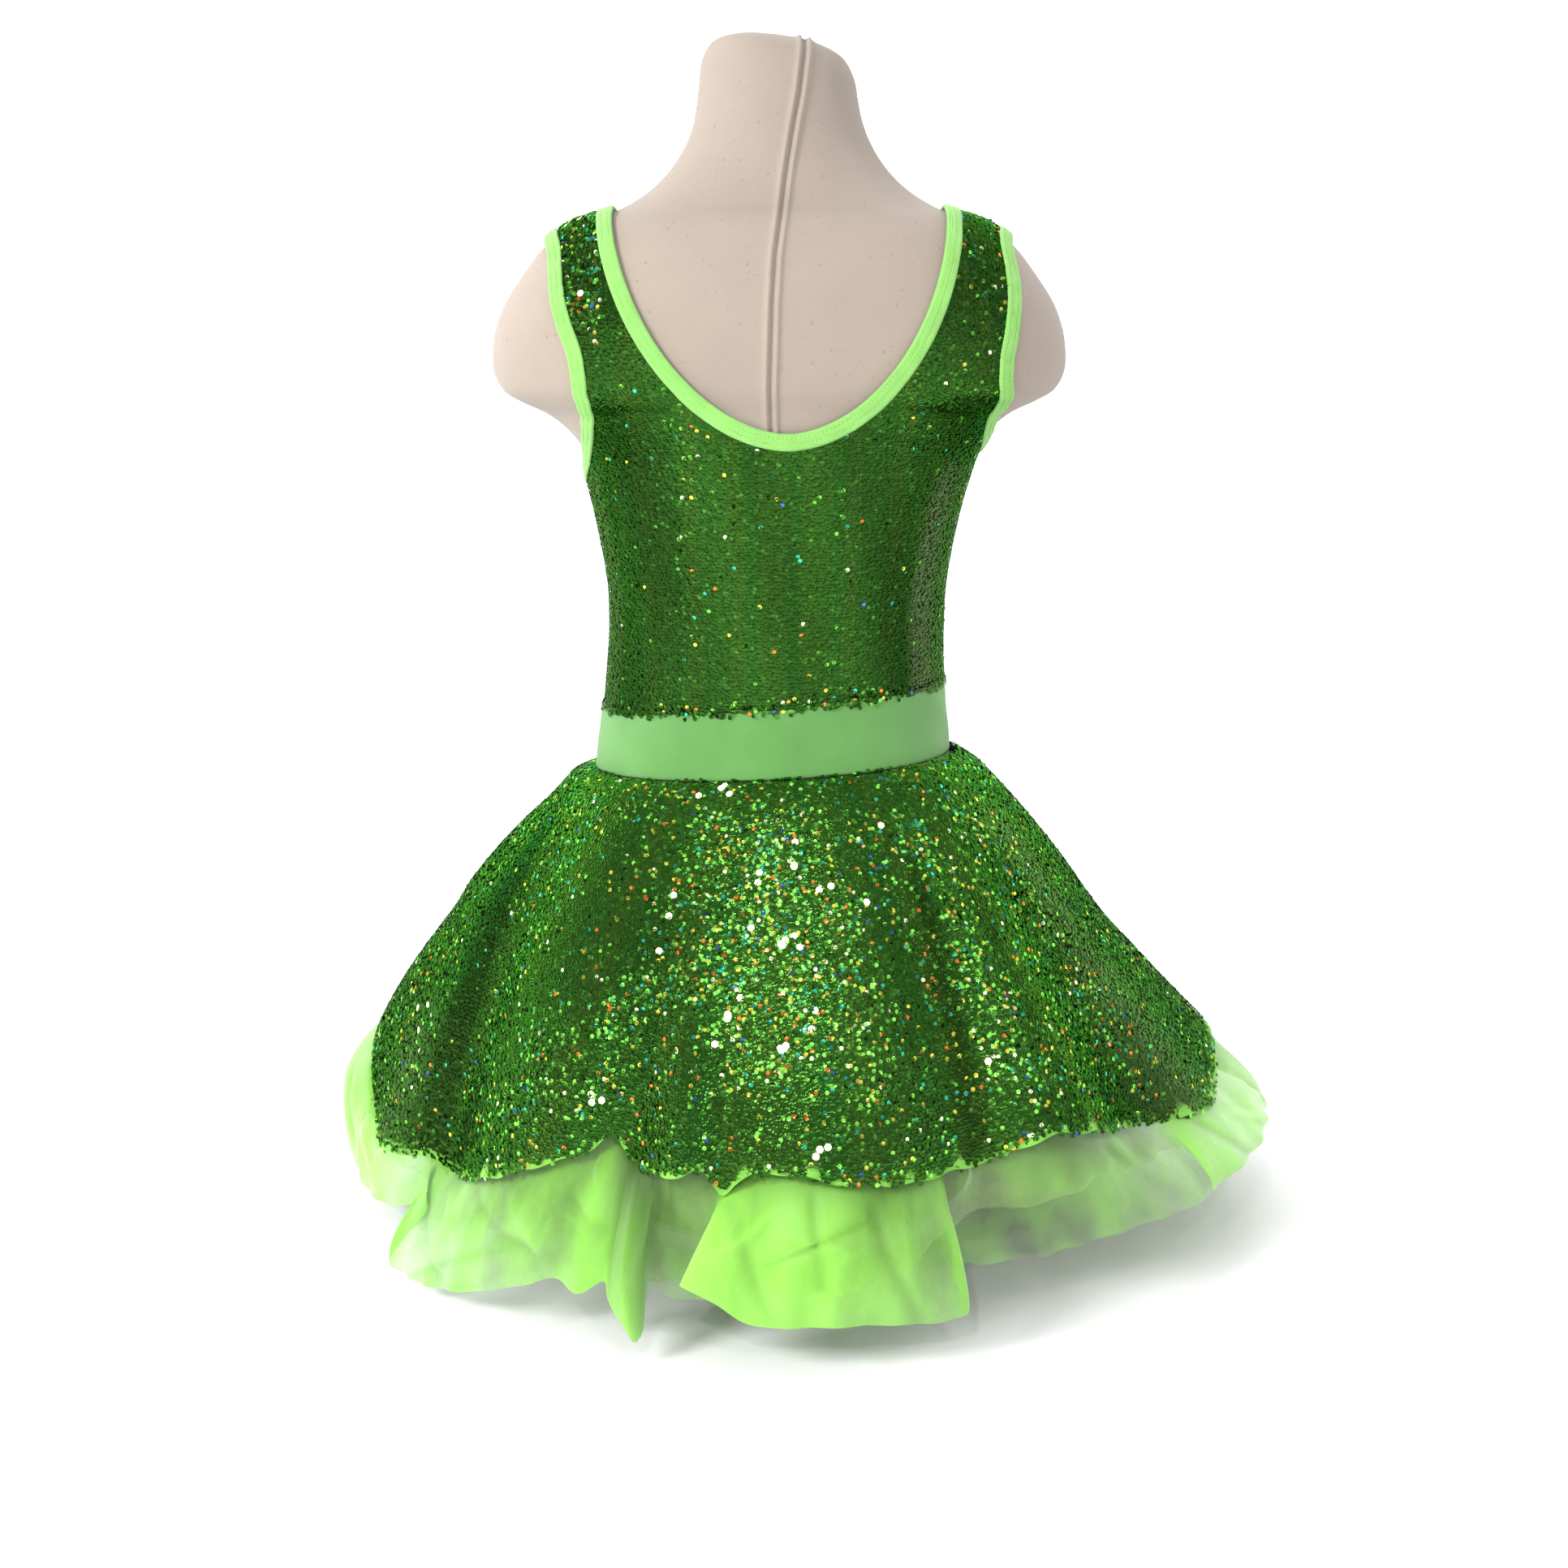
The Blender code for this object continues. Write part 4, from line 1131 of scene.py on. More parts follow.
def organza_look(name, colour):
    """Sheer cloth: each layer hides as much as its cover mark says; a mark of tone and painted
    shade multiplies its colour.
    """
    made, tree, shader = new_look(name, colour, 0.42)
    place = tree.nodes.new("ShaderNodeUVMap")
    place.uv_map = "flat"
    slant = tree.nodes.new("ShaderNodeMapping")
    slant.inputs["Rotation"].default_value = (0, 0, math.radians(-28))
    slant.inputs["Scale"].default_value = (1.0, 0.30, 1.0)
    tree.links.new(place.outputs["UV"], slant.inputs["Vector"])
    drift = place_group(tree, "soft patches", patches_group)
    drift.inputs["Scale"].default_value = 34.0
    drift.inputs["First"].default_value = (*colour, 1)
    drift.inputs["Second"].default_value = (*[min(1.0, c * 0.9 + 0.04) for c in colour], 1)
    tree.links.new(slant.outputs["Vector"], drift.inputs["Vector"])
    # painted shade and light, with some tone, from the cloth's mark multiply its colour
    tone_and_shading = tree.nodes.new("ShaderNodeAttribute")
    tone_and_shading.attribute_name = "tone_and_shading"
    mix = tree.nodes.new("ShaderNodeMix")
    mix.data_type = "RGBA"
    mix.blend_type = "MULTIPLY"
    mix.inputs["Factor"].default_value = 1.0
    tree.links.new(drift.outputs["Color"], mix.inputs["A"])
    tree.links.new(tone_and_shading.outputs["Color"], mix.inputs["B"])
    tree.links.new(mix.outputs["Result"], shader.inputs["Base Color"])
    threads = place_group(tree, "crossed threads", knit_group)
    threads.inputs["Threads"].default_value = 1100.0
    tree.links.new(place.outputs["UV"], threads.inputs["Vector"])
    mark = tree.nodes.new("ShaderNodeAttribute")
    mark.attribute_name = "cover"
    weave = maths(tree, "MULTIPLY", threads.outputs["Height"], 0.12)
    cloud = maths(tree, "MULTIPLY", drift.outputs["Mask"], 0.42)
    cover = maths(tree, "ADD", mark.outputs["Fac"], maths(tree, "SUBTRACT", weave, 0.24))
    cover = maths(tree, "ADD", cover, cloud, clamp=True)
    tree.links.new(cover, shader.inputs["Alpha"])
    shader.inputs["Sheen Weight"].default_value = 0.3
    return made


def paint_look(colours):
    made, tree, shader = new_look("white stand paint", colours.stand, 0.32, 0.0)
    shade = [c * 0.93 for c in colours.stand]
    patchy_colour(tree, shader, colours.stand, shade, 9.0)
    place = tree.nodes.new("ShaderNodeTexCoord")
    noise = tree.nodes.new("ShaderNodeTexNoise")
    noise.inputs["Scale"].default_value = 900.0
    bump = tree.nodes.new("ShaderNodeBump")
    bump.inputs["Distance"].default_value = 0.0001
    bump.inputs["Strength"].default_value = 0.3
    tree.links.new(place.outputs["Object"], noise.inputs["Vector"])
    tree.links.new(noise.outputs["Fac"], bump.inputs["Height"])
    tree.links.new(bump.outputs["Normal"], shader.inputs["Normal"])
    return made


def sequin_look():
    """Metallic cups whose colour is marked on each; the glint mark makes some glow as painted
    glints.
    """
    made, tree, shader = new_look("green sequins", (0.1, 0.3, 0.06), 0.20, 0.88)
    shader.inputs["Specular Tint"].default_value = (0.40, 0.90, 0.30, 1)
    tint = tree.nodes.new("ShaderNodeAttribute")
    tint.attribute_name = "tint"
    tree.links.new(tint.outputs["Color"], shader.inputs["Base Color"])
    tree.links.new(tint.outputs["Color"], shader.inputs["Emission Color"])
    glint = tree.nodes.new("ShaderNodeAttribute")
    glint.attribute_name = "glint"
    tree.links.new(glint.outputs["Fac"], shader.inputs["Emission Strength"])
    return made


def stitch_look(colours):
    """Shiny thread, a little patchy."""
    made, tree, shader = new_look("lime thread", colours.thread, 0.5)
    shade = [c * 0.8 for c in colours.thread]
    patchy_colour(tree, shader, colours.thread, shade, 300.0)
    return made


# Settings

class LeotardColours(bpy.types.PropertyGroup):
    jersey: bpy.props.FloatVectorProperty(
        name="Form jersey", description="Colour of the form's cover", subtype="COLOR",
        size=3, min=0, max=1, default=(0.41, 0.338, 0.28))
    binding: bpy.props.FloatVectorProperty(
        name="Binding", description="Colour of the folded tape", subtype="COLOR",
        size=3, min=0, max=1, default=(0.30, 0.70, 0.15))
    band: bpy.props.FloatVectorProperty(
        name="Waistband", description="Colour of the waistband", subtype="COLOR",
        size=3, min=0, max=1, default=(0.145, 0.41, 0.092))
    ground: bpy.props.FloatVectorProperty(
        name="Ground cloth", description="Colour of the cloth under the sequins",
        subtype="COLOR", size=3, min=0, max=1, default=(0.26, 0.70, 0.08))
    organza: bpy.props.FloatVectorProperty(
        name="Organza", description="Colour of the petticoat", subtype="COLOR",
        size=3, min=0, max=1, default=(0.275, 0.735, 0.056))
    organza_inside: bpy.props.FloatVectorProperty(
        name="Inner organza", description="Colour of the petticoat's shaded inner layer",
        subtype="COLOR", size=3, min=0, max=1, default=(0.19, 0.29, 0.09))
    thread: bpy.props.FloatVectorProperty(
        name="Thread", description="Colour of the stitching", subtype="COLOR",
        size=3, min=0, max=1, default=(0.46, 0.88, 0.22))
    stand: bpy.props.FloatVectorProperty(
        name="Stand", description="Colour of the stand's paint", subtype="COLOR",
        size=3, min=0, max=1, default=(0.78, 0.78, 0.76))


class LeotardSizes(bpy.types.PropertyGroup):
    sequin: bpy.props.FloatProperty(
        name="Sequin", description="Width of one sequin", subtype="DISTANCE", unit="LENGTH",
        min=0.0015, max=0.006, default=0.0025)
    sequin_pitch: bpy.props.FloatProperty(
        name="Sequin pitch", description="Distance between sequins in a row",
        subtype="DISTANCE", unit="LENGTH", min=0.0012, max=0.005, default=0.0018)
    row_pitch: bpy.props.FloatProperty(
        name="Row pitch", description="Distance between rows of sequins",
        subtype="DISTANCE", unit="LENGTH", min=0.0012, max=0.005, default=0.0018)
    hem_rim: bpy.props.FloatProperty(
        name="Bare rim", description="Ground cloth that shows below the skirt's last sequins",
        subtype="DISTANCE", unit="LENGTH", min=0.0, max=0.01, default=0.0022)
    stitch: bpy.props.FloatProperty(
        name="Stitch", description="Length of one stitch on the binding",
        subtype="DISTANCE", unit="LENGTH", min=0.001, max=0.005, default=0.0024)


class LeotardStage(bpy.types.PropertyGroup):
    distance: bpy.props.FloatProperty(
        name="Camera distance", description="From the camera to the form's middle, level",
        subtype="DISTANCE", unit="LENGTH", min=0.5, max=5, default=1.187)
    height: bpy.props.FloatProperty(
        name="Camera height", description="Above the floor", subtype="DISTANCE",
        unit="LENGTH", min=0, max=3, default=0.472)
    side: bpy.props.FloatProperty(
        name="Camera side", description="Place of the camera towards +X",
        subtype="DISTANCE", unit="LENGTH", min=-1, max=1, default=0.0026)
    pitch: bpy.props.FloatProperty(
        name="Camera pitch", description="How far the camera looks down", subtype="ANGLE",
        unit="ROTATION", min=-1.5, max=1.5, default=math.radians(10.71))
    roll: bpy.props.FloatProperty(
        name="Camera roll", description="How far the camera leans", subtype="ANGLE",
        unit="ROTATION", min=-1.5, max=1.5, default=math.radians(0.21))
    view: bpy.props.FloatProperty(
        name="Field of view", description="Of the square picture", subtype="ANGLE",
        unit="ROTATION", min=0.1, max=2, default=2 * math.atan(966 / 2539))


# Small shapes that are repeated

def deselect_all():
    """Leaves edit mode with nothing selected."""
    if bpy.context.object and bpy.context.object.mode != "OBJECT":
        bpy.ops.object.mode_set(mode="OBJECT")
    bpy.ops.object.select_all(action="DESELECT")


def taken_shape(piece):
    """Corners and faces of a finished small shape, which is then put away."""
    mesh = piece.data
    corners = np.array([v.co for v in mesh.vertices], float)
    faces = np.array([list(p.vertices) for p in mesh.polygons], int)
    bpy.data.objects.remove(piece)
    return corners, faces


def model_sequin(width):
    """One cup: a six sided disc with its middle pressed in."""
    deselect_all()
    bpy.ops.mesh.primitive_circle_add(vertices=6, radius=width / 2, fill_type="TRIFAN")
    piece = bpy.context.object
    bpy.ops.object.mode_set(mode="EDIT")
    work = bmesh.from_edit_mesh(piece.data)
    for corner in work.verts:
        corner.select = corner.co.length < width / 10
    work.select_flush(True)
    bmesh.update_edit_mesh(piece.data)
    bpy.ops.transform.translate(value=(0, 0, -width * 0.11))
    bpy.ops.object.mode_set(mode="OBJECT")
    return taken_shape(piece)


def model_stitch(length):
    """One stitch: a short thread that dives in at both ends."""
    deselect_all()
    bpy.ops.mesh.primitive_cylinder_add(
        vertices=4, radius=0.00022, depth=length, end_fill_type="TRIFAN")
    piece = bpy.context.object
    bpy.ops.object.mode_set(mode="EDIT")
    bpy.ops.mesh.select_mode(type="EDGE")
    work = bmesh.from_edit_mesh(piece.data)
    for edge in work.edges:
        edge.select = abs(edge.verts[0].co.z - edge.verts[1].co.z) > length / 2
    bmesh.update_edit_mesh(piece.data)
    bpy.ops.mesh.subdivide(number_cuts=1)
    bpy.ops.mesh.select_all(action="SELECT")
    bpy.ops.mesh.quads_convert_to_tris()
    bpy.ops.mesh.select_mode(type="VERT")
    work = bmesh.from_edit_mesh(piece.data)
    for corner in work.verts:
        corner.select = abs(corner.co.z) < length / 8
    work.select_flush(True)
    bmesh.update_edit_mesh(piece.data)
    bpy.ops.transform.translate(value=(0.00025, 0, 0))
    bpy.ops.object.mode_set(mode="OBJECT")
    return taken_shape(piece)


def scattered(name, shape, places, across, up, out, looks, marks=None, smooth=False):
    """One mesh of copies of a shape, each with its own three directions."""
    corners, faces = shape
    turned = (
        corners[None, :, 0, None] * across[:, None]
        + corners[None, :, 1, None] * up[:, None]
        + corners[None, :, 2, None] * out[:, None]
        + places[:, None]
    )
    first = np.arange(len(places))[:, None, None] * len(corners)
    all_marks = {
        key: np.repeat(values, len(corners), axis=0) for key, values in (marks or {}).items()
    }
    return put_together(
        name, turned.reshape(-1, 3), (faces[None] + first).reshape(-1, faces.shape[1]), looks,
        marks=all_marks, smooth=smooth)


# Share on a calm place, share on a sparkling one, colour and how much it varies
# Tints after the first three stand for glints, as painted highlights; they are drawn more often
# where it sparkles
SEQUIN_TINTS = (
    (0.6600, 0.400, (0.026, 0.100, 0.012), 0.20),
    (0.2700, 0.170, (0.034, 0.125, 0.016), 0.25),
    (0.0660, 0.200, (0.060, 0.230, 0.030), 0.55),
    (0.0035, 0.115, (0.170, 0.600, 0.070), 0.60),
    (0.0005, 0.032, (0.700, 0.620, 0.070), 0.30),
    (0.0005, 0.016, (0.800, 0.220, 0.040), 0.30),
    (0.0010, 0.032, (0.040, 0.480, 0.300), 0.40),
    (0.0001, 0.005, (0.060, 0.140, 0.520), 0.30),
    (0.0001, 0.013, (0.900, 1.000, 0.600), 0.10),
)
# Painted shade in the skirt's valleys: degrees from +X at the top and at the hem, half width,
# start, strength
VALLEYS = (
    (195, 207, 4.5, 0.10, 1.25),
    (247, 246, 6.0, 0.25, 0.35),
    (304, 297, 2.6, 0.15, 0.80),
    (314, 311, 2.0, 0.30, 0.45),
    (326, 326, 5.5, 0.10, 0.60),
    (18, 18, 7.0, 0.20, 0.70),
    (57, 57, 7.0, 0.20, 0.70),
    (93, 93, 6.0, 0.15, 0.70),
    (130, 130, 7.0, 0.15, 0.70),
    (166, 166, 6.0, 0.20, 0.70),
)
GLINT_SEED = 12
# How far a degree reaches along the skirt halfway down
DEGREE_REACH = 0.0035
# Groups of large painted glints, sequins that glow white, on the skirt's back: degrees from +X,
# spread, way down, spread, count
GLINTS = (
    (264, 1.2, 0.36, 0.05, 4),
    (273, 0.6, 0.27, 0.03, 3),
    (271, 1.3, 0.47, 0.02, 5),
    (247, 0.8, 0.47, 0.06, 3),
    (262, 1.4, 0.66, 0.04, 3),
    (275, 0.6, 0.64, 0.02, 2),
    (270, 0.8, 0.72, 0.01, 3),
    (260, 0.5, 0.76, 0.02, 1),
    (242, 2.0, 0.87, 0.02, 3),
    (271, 3.0, 0.91, 0.02, 3),
    (249, 7.0, 0.05, 0.02, 4),
    (290, 6.0, 0.35, 0.05, 3),
    (298, 0.5, 0.18, 0.01, 1),
    (301, 1.0, 0.83, 0.03, 1),
    (194, 2.0, 0.60, 0.25, 3),
)
# Where the skirt sparkles, as painted highlights and looser sequins: degrees from +X, half width,
# from down, to down, how strongly
SPARKLING = (
    (269, 8, 0.10, 0.85, 1.00),
    (252, 9, 0.00, 0.72, 0.45),
    (226, 8, 0.12, 0.88, -0.30),
    (243, 4, 0.55, 0.95, 0.70),
    (230, 6, 0.60, 0.95, 0.40),
    (282, 5, 0.30, 0.90, 0.55),
    (305, 6, 0.10, 0.95, 0.75),
    (328, 6, 0.10, 0.95, 0.80),
    (200, 6, 0.75, 0.98, 0.90),
    (20, 9, 0.10, 0.90, 0.60),
    (62, 8, 0.15, 0.90, 0.80),
    (110, 9, 0.15, 0.85, 0.70),
    (148, 8, 0.20, 0.90, 0.60),
)


def sequin_tints(count, chance, sparkle, tone_and_shading):
    """A colour for each sequin, drawn from the table of tints."""
    table = np.array([row[:2] for row in SEQUIN_TINTS])
    steps = np.cumsum(table / table.sum(axis=0), axis=0)
    limits = steps[:, 0] + (steps[:, 1] - steps[:, 0]) * sparkle[:, None]
    kind = np.minimum((chance.random(count)[:, None] > limits).sum(axis=1), len(table) - 1)
    colours = np.array([row[2] for row in SEQUIN_TINTS])[kind]
    spread = np.array([row[3] for row in SEQUIN_TINTS])[kind]
    bright = 1 + spread * chance.uniform(-1, 1, count)
    tint = colours * bright[:, None]
    plain = (kind < 3)[:, None] * tone_and_shading[:, 3:4]
    tint = tint * (1 - plain) + tone_and_shading[:, :3] * bright[:, None] * plain
    # painted shade on the plain and bright green sequins, and painted highlight where the shade is
    # below zero
    tint = tint * np.where(kind < 4, 1 - tone_and_shading[:, 4], 1.0)[:, None]
    return np.concatenate([np.clip(tint, 0, 1), np.ones((count, 1))], axis=1)


def lay_sequins(name, places, normals, ups, sizes, sparkle, tone_and_shading, seed, flash=None):
    """Sequins that overlap downwards like scales, each a little out of true; the rows of tones
    give the colour that plain ones drift to, by how much, and their painted shade or highlight."""
    chance = np.random.default_rng(seed)
    count = len(places)
    across = unit(np.cross(ups, normals))
    loose = np.radians(1.3 + 9 * sparkle)
    tilt = np.radians(12) + chance.normal(0, 1, count) * loose
    lean = chance.normal(0, 1, count) * loose
    wild = chance.random(count) < 0.004 + 0.07 * sparkle
    tilt[wild] += chance.normal(0, np.radians(25), wild.sum())
    lean[wild] += chance.normal(0, np.radians(25), wild.sum())
    out = unit(normals - ups * np.tan(tilt)[:, None] + across * np.tan(lean)[:, None])
    spin = chance.uniform(0, math.pi, count)
    # painted glints: flash sequins are picked here at random where it sparkles
    random_flash = chance.random(count) < 0.006 * sparkle ** 3
    flash = random_flash if flash is None else flash
    grown = 1 + 0.6 * flash[:, None]
    side = unit(np.cross(ups, out))
    top = np.cross(out, side)
    first = side * np.cos(spin)[:, None] + top * np.sin(spin)[:, None]
    second = np.cross(out, first)
    lift = 0.0006 + chance.uniform(-1, 1, count) * (0.0001 + 0.0003 * sparkle) + 0.0006 * flash
    tint = sequin_tints(count, chance, sparkle, tone_and_shading)
    # painted glints: bright tints glow a little, and flash sequins are larger, lifted and glow
    # white-yellow, though no lamp
    glint = np.clip((tint[:, :3].max(axis=1) - 0.45) * 0.8, 0, 0.35)
    tint[flash, :3] = (1.0, 0.98, 0.60)
    glint[flash] = 1.5
    return scattered(
        name, model_sequin(sizes.sequin), places + normals * lift[:, None],
        first * grown, second * grown, out * grown,
        [sequin_look()], {"tint": tint, "glint": glint})


# Pieces

def jersey_cover():
    """The form's cover, with the raised seam down its back."""
    low = np.linspace(0, FORM_RUN[-1], 190)
    fine = np.array([0.0, 0.9, 1.8, 2.7, 3.6, 4.5, 5.6, 7.0, 9.0, 12.0]) / 80
    rest = np.radians(np.arange(12.0, 180.1, 4.0))
    half = np.concatenate([fine, rest])
    across = np.concatenate([-half[:0:-1], half])[:-1]
    turn, run = np.meshgrid(across, low)
    height = section(run)[0]
    rows = np.array(BACK_SEAM)
    seam = np.interp(height, rows[:, 0], rows[:, 1])
    width = section(run)[2]
    shift = seam / width * np.exp(-(turn / 0.6) ** 2)
    turn = turn - math.pi / 2 + shift
    points = bare_form(turn, run)
    off = points[..., 0] - seam
    back = points[..., 1] < section(run)[3]
    ridge = np.exp(-((np.abs(off) - 0.0027) / 0.0012) ** 2) * 0.0015
    ridge += np.exp(-(off / 0.0055) ** 4) * 0.0004 - np.exp(-(off / 0.0009) ** 2) * 0.0014
    ridge = np.where(back, ridge, 0.0)
    points = points + form_normal(turn, run) * ridge[..., None]
    flat = np.stack([turn * 0.09, run], axis=-1)
    rows_count, columns = points.shape[:2]
    corners = np.vstack([points.reshape(-1, 3), points[0].mean(0), points[-1].mean(0)])
    flat = np.vstack([flat.reshape(-1, 2), [0, 0], [0, FORM_RUN[-1]]])
    faces = grid_faces(rows_count, columns, closed=True)
    cap = []
    for c in range(columns):
        d = (c + 1) % columns
        top = (rows_count - 1) * columns
        cap.append((d, c, rows_count * columns))
        cap.append((top + c, top + d, rows_count * columns + 1))
    piece = put_together(
        "form_cover", corners, faces, [jersey_look(bpy.context.scene.leotard_colours)], flat)
    add_fan(piece, cap)
    return settle(piece, "form_jersey", "form_torso")


def add_fan(piece, cap):
    """Closes the ends of a shape with triangles."""
    work = bmesh.new()
    work.from_mesh(piece.data)
    work.verts.ensure_lookup_table()
    flat = work.loops.layers.uv.active
    for places in cap:
        face = work.faces.new([work.verts[place] for place in places])
        face.smooth = True
        if flat is not None:
            for loop in face.loops:
                loop[flat].uv = (loop.vert.co.x, loop.vert.co.y)
    work.normal_update()
    work.to_mesh(piece.data)
    work.free()


# Section of the folded tape, from the free edge underneath round the fold to the free edge on
# top: share of the width from the garment's edge, share of the thickness out
TAPE_SECTION = (
    (0.98, 0.02),
    (0.60, 0.00),
    (0.22, 0.00),
    (0.07, 0.12),
    (0.00, 0.42),
    (0.04, 0.74),
    (0.14, 0.93),
    (0.22, 0.96),
    (0.26, 0.86),
    (0.30, 0.97),
    (0.45, 1.00),
    (0.60, 0.98),
    (0.65, 0.86),
    (0.70, 0.97),
    (0.82, 0.99),
    (0.93, 0.92),
    (0.99, 0.72),
    (1.00, 0.50),
)
STITCH_ROWS = (0.26, 0.65)
# A row of faces on the tape's top, between its rows of stitches
TAPE_TOP_ROW = 10


def tape(name, edge, seed):
    """A folded tape round a bound edge, with its twin rows of stitches."""
    chance = np.random.default_rng(seed)
    count = len(edge.points)
    loop = np.arange(count)
    ripple = sum(
        np.sin(loop / count * 2 * math.pi * k + chance.uniform(0, 6.3)) * 0.00016
        for k in (17, 29, 43))
    rings = []
    for share, out in TAPE_SECTION:
        turn, run = edge.moved(BINDING_WIDTH * share)
        puff = ripple * (out > 0.5) * 0.6
        rings.append(on_form(turn, run, BINDING_OUT + BINDING_THICK * out + puff))
    grid = np.stack(rings)
    length = lengths(np.vstack([edge.points, edge.points[:1]]))
    drop = lengths(grid[:, 0])
    flat = np.stack(np.broadcast_arrays(length[None, :-1], drop[:, None]), axis=-1)
    faces = grid_faces(*grid.shape[:2], closed=True)
    colours = bpy.context.scene.leotard_colours
    piece = put_together(name, grid, faces, [tape_look(colours)], flat.reshape(-1, 2))
    point_outwards(piece, edge)
    settle(piece, "lime_binding", name.replace("_tape", ""))
    return piece, length[-1]


def point_outwards(piece, edge):
    """Turns the faces so that the tape's top looks away from the form."""
    work = bmesh.new()
    work.from_mesh(piece.data)
    work.faces.ensure_lookup_table()
    turn, run = edge.moved(BINDING_WIDTH * 0.5)
    normal = form_normal(turn, run)
    count = len(edge.points)
    votes = sum(
        np.dot(np.array(work.faces[TAPE_TOP_ROW * count + k].normal), normal[k])
        for k in range(0, count, 5))
    if votes < 0:
        bmesh.ops.reverse_faces(work, faces=work.faces)
    work.to_mesh(piece.data)
    work.free()


def tape_stitches(name, edges, sizes):
    """The twin stitching on all the tapes, as one mesh."""
    shape = model_stitch(sizes.stitch * 0.82)
    places, alongs, outs, sides = [], [], [], []
    for edge in edges:
        for share in STITCH_ROWS:
            turn, run = edge.moved(BINDING_WIDTH * share)
            line = on_form(turn, run, BINDING_OUT + BINDING_THICK * 0.92)
            normal = form_normal(turn, run)
            loop = np.vstack([line, line[:1]])
            length = lengths(loop)
            count = int(length[-1] / sizes.stitch)
            at = (np.arange(count) + 0.5) * length[-1] / count
            loop_normal = np.vstack([normal, normal[:1]])
            place = np.stack([np.interp(at, length, loop[:, k]) for k in range(3)], axis=1)
            out = unit(np.stack([np.interp(at, length, loop_normal[:, k]) for k in range(3)], 1))
            along = unit(np.roll(place, -1, axis=0) - np.roll(place, 1, axis=0))
            along = unit(along - out * (along * out).sum(1)[:, None])
            places.append(place)
            outs.append(out)
            alongs.append(along)
            sides.append(np.cross(out, along))
    places, outs = np.concatenate(places), np.concatenate(outs)
    alongs, sides = np.concatenate(alongs), np.concatenate(sides)
    piece = scattered(
        name, shape, places, outs, sides, alongs,
        [stitch_look(bpy.context.scene.leotard_colours)], smooth=True)
    return settle(piece, "lime_binding")


def waist_band():
    """The plain band, a strip that turns in at its two edges."""
    turn = np.linspace(0, 2 * math.pi, 181)[:-1]
    low = level(BAND_FOOT, BAND_FOOT_RISE, turn)
    high = level(BAND_TOP, BAND_TOP_RISE, turn)
    section_rows = (
        (0.00, 0.10), (0.00, 0.55), (0.012, 0.88), (0.04, 1.00),
        *((share, 1.0) for share in np.linspace(0.1, 0.9, 12)),
        (0.96, 1.00), (0.988, 0.88), (1.00, 0.55), (1.00, 0.10),
    )
    rings = []
    for share, out in section_rows:
        run = low + (high - low) * share
        crease = 0.00035 * np.sin(turn * 7 + share * 5) * math.sin(math.pi * share)
        crease += 0.00025 * np.sin(turn * 19 + share * 9 + 1) * math.sin(math.pi * share)
        rings.append(on_form(turn, run, BODICE_OUT + BAND_CLOTH * out + crease))
    grid = np.stack(rings)
    girth = lengths(np.vstack([grid[8], grid[8][:1]]))
    drop = lengths(grid[:, 0])
    flat = np.stack(np.broadcast_arrays(girth[None, :-1], drop[:, None]), axis=-1)
    piece = put_together(
        "waistband_cloth", grid, grid_faces(*grid.shape[:2], closed=True),
        [band_look(bpy.context.scene.leotard_colours)], flat.reshape(-1, 2))
    settle(piece, "lime_band", "waistband")
    return piece


STRAP_PARTS = 30
STRAP_ACROSS = 14
BODY_PARTS = 36


def bodice_grids(back, clear):
    """Grids of angle from the middle and run for the two straps and the body below."""
    neck_edge = neck_line(2 * STRAP_PARTS)
    neck = np.stack(neck_edge.moved(clear), axis=1)
    first, last = (0, 2 * STRAP_PARTS) if back else (4 * STRAP_PARTS, 2 * STRAP_PARTS)
    neck = part_of(neck, first, last)
    neck[:, 0] = from_middle(neck[:, 0], back)
    grids, tops = [], []
    for side, inner in ((-1, neck[:STRAP_PARTS - 1:-1]), (1, neck[:STRAP_PARTS + 1])):
        arm = np.stack(armhole_line(side, STRAP_PARTS).moved(clear), axis=1)
        first, last = (0, STRAP_PARTS) if back else (2 * STRAP_PARTS, STRAP_PARTS)
        outer = part_of(arm, first, last)
        outer[:, 0] = from_middle(outer[:, 0], back)
        for line in (outer, inner):
            line[0, 0] = math.copysign(math.pi / 2, line[1, 0])
        outer[-1, 0] = math.copysign(math.pi / 2, outer[-2, 0])
        strap = ruled(outer, inner, STRAP_ACROSS)
        grids.append(strap)
        tops.append(strap[:, -1])
    top = np.vstack([tops[0], tops[1][-2::-1]])
    ends = top[0, 0], top[-1, 0]
    across = np.linspace(ends[0], ends[1], len(top))
    middle = middle_turn(back)
    foot = level(BAND_TOP + SEAM_GAP, BAND_TOP_RISE, across + middle)
    grids.append(ruled(top, np.stack([across, foot], axis=1), BODY_PARTS))
    return grids


def outline_of(grids):
    """The bodice's outline in angle and run, for telling which sequins lie on it."""
    left, right, body = grids
    return np.vstack([
        body[-1], body[::-1, -1], right[0][::-1], right[:, 0], right[-1],
        left[-1][::-1], left[::-1, 0], left[0], body[:, 0],
    ])


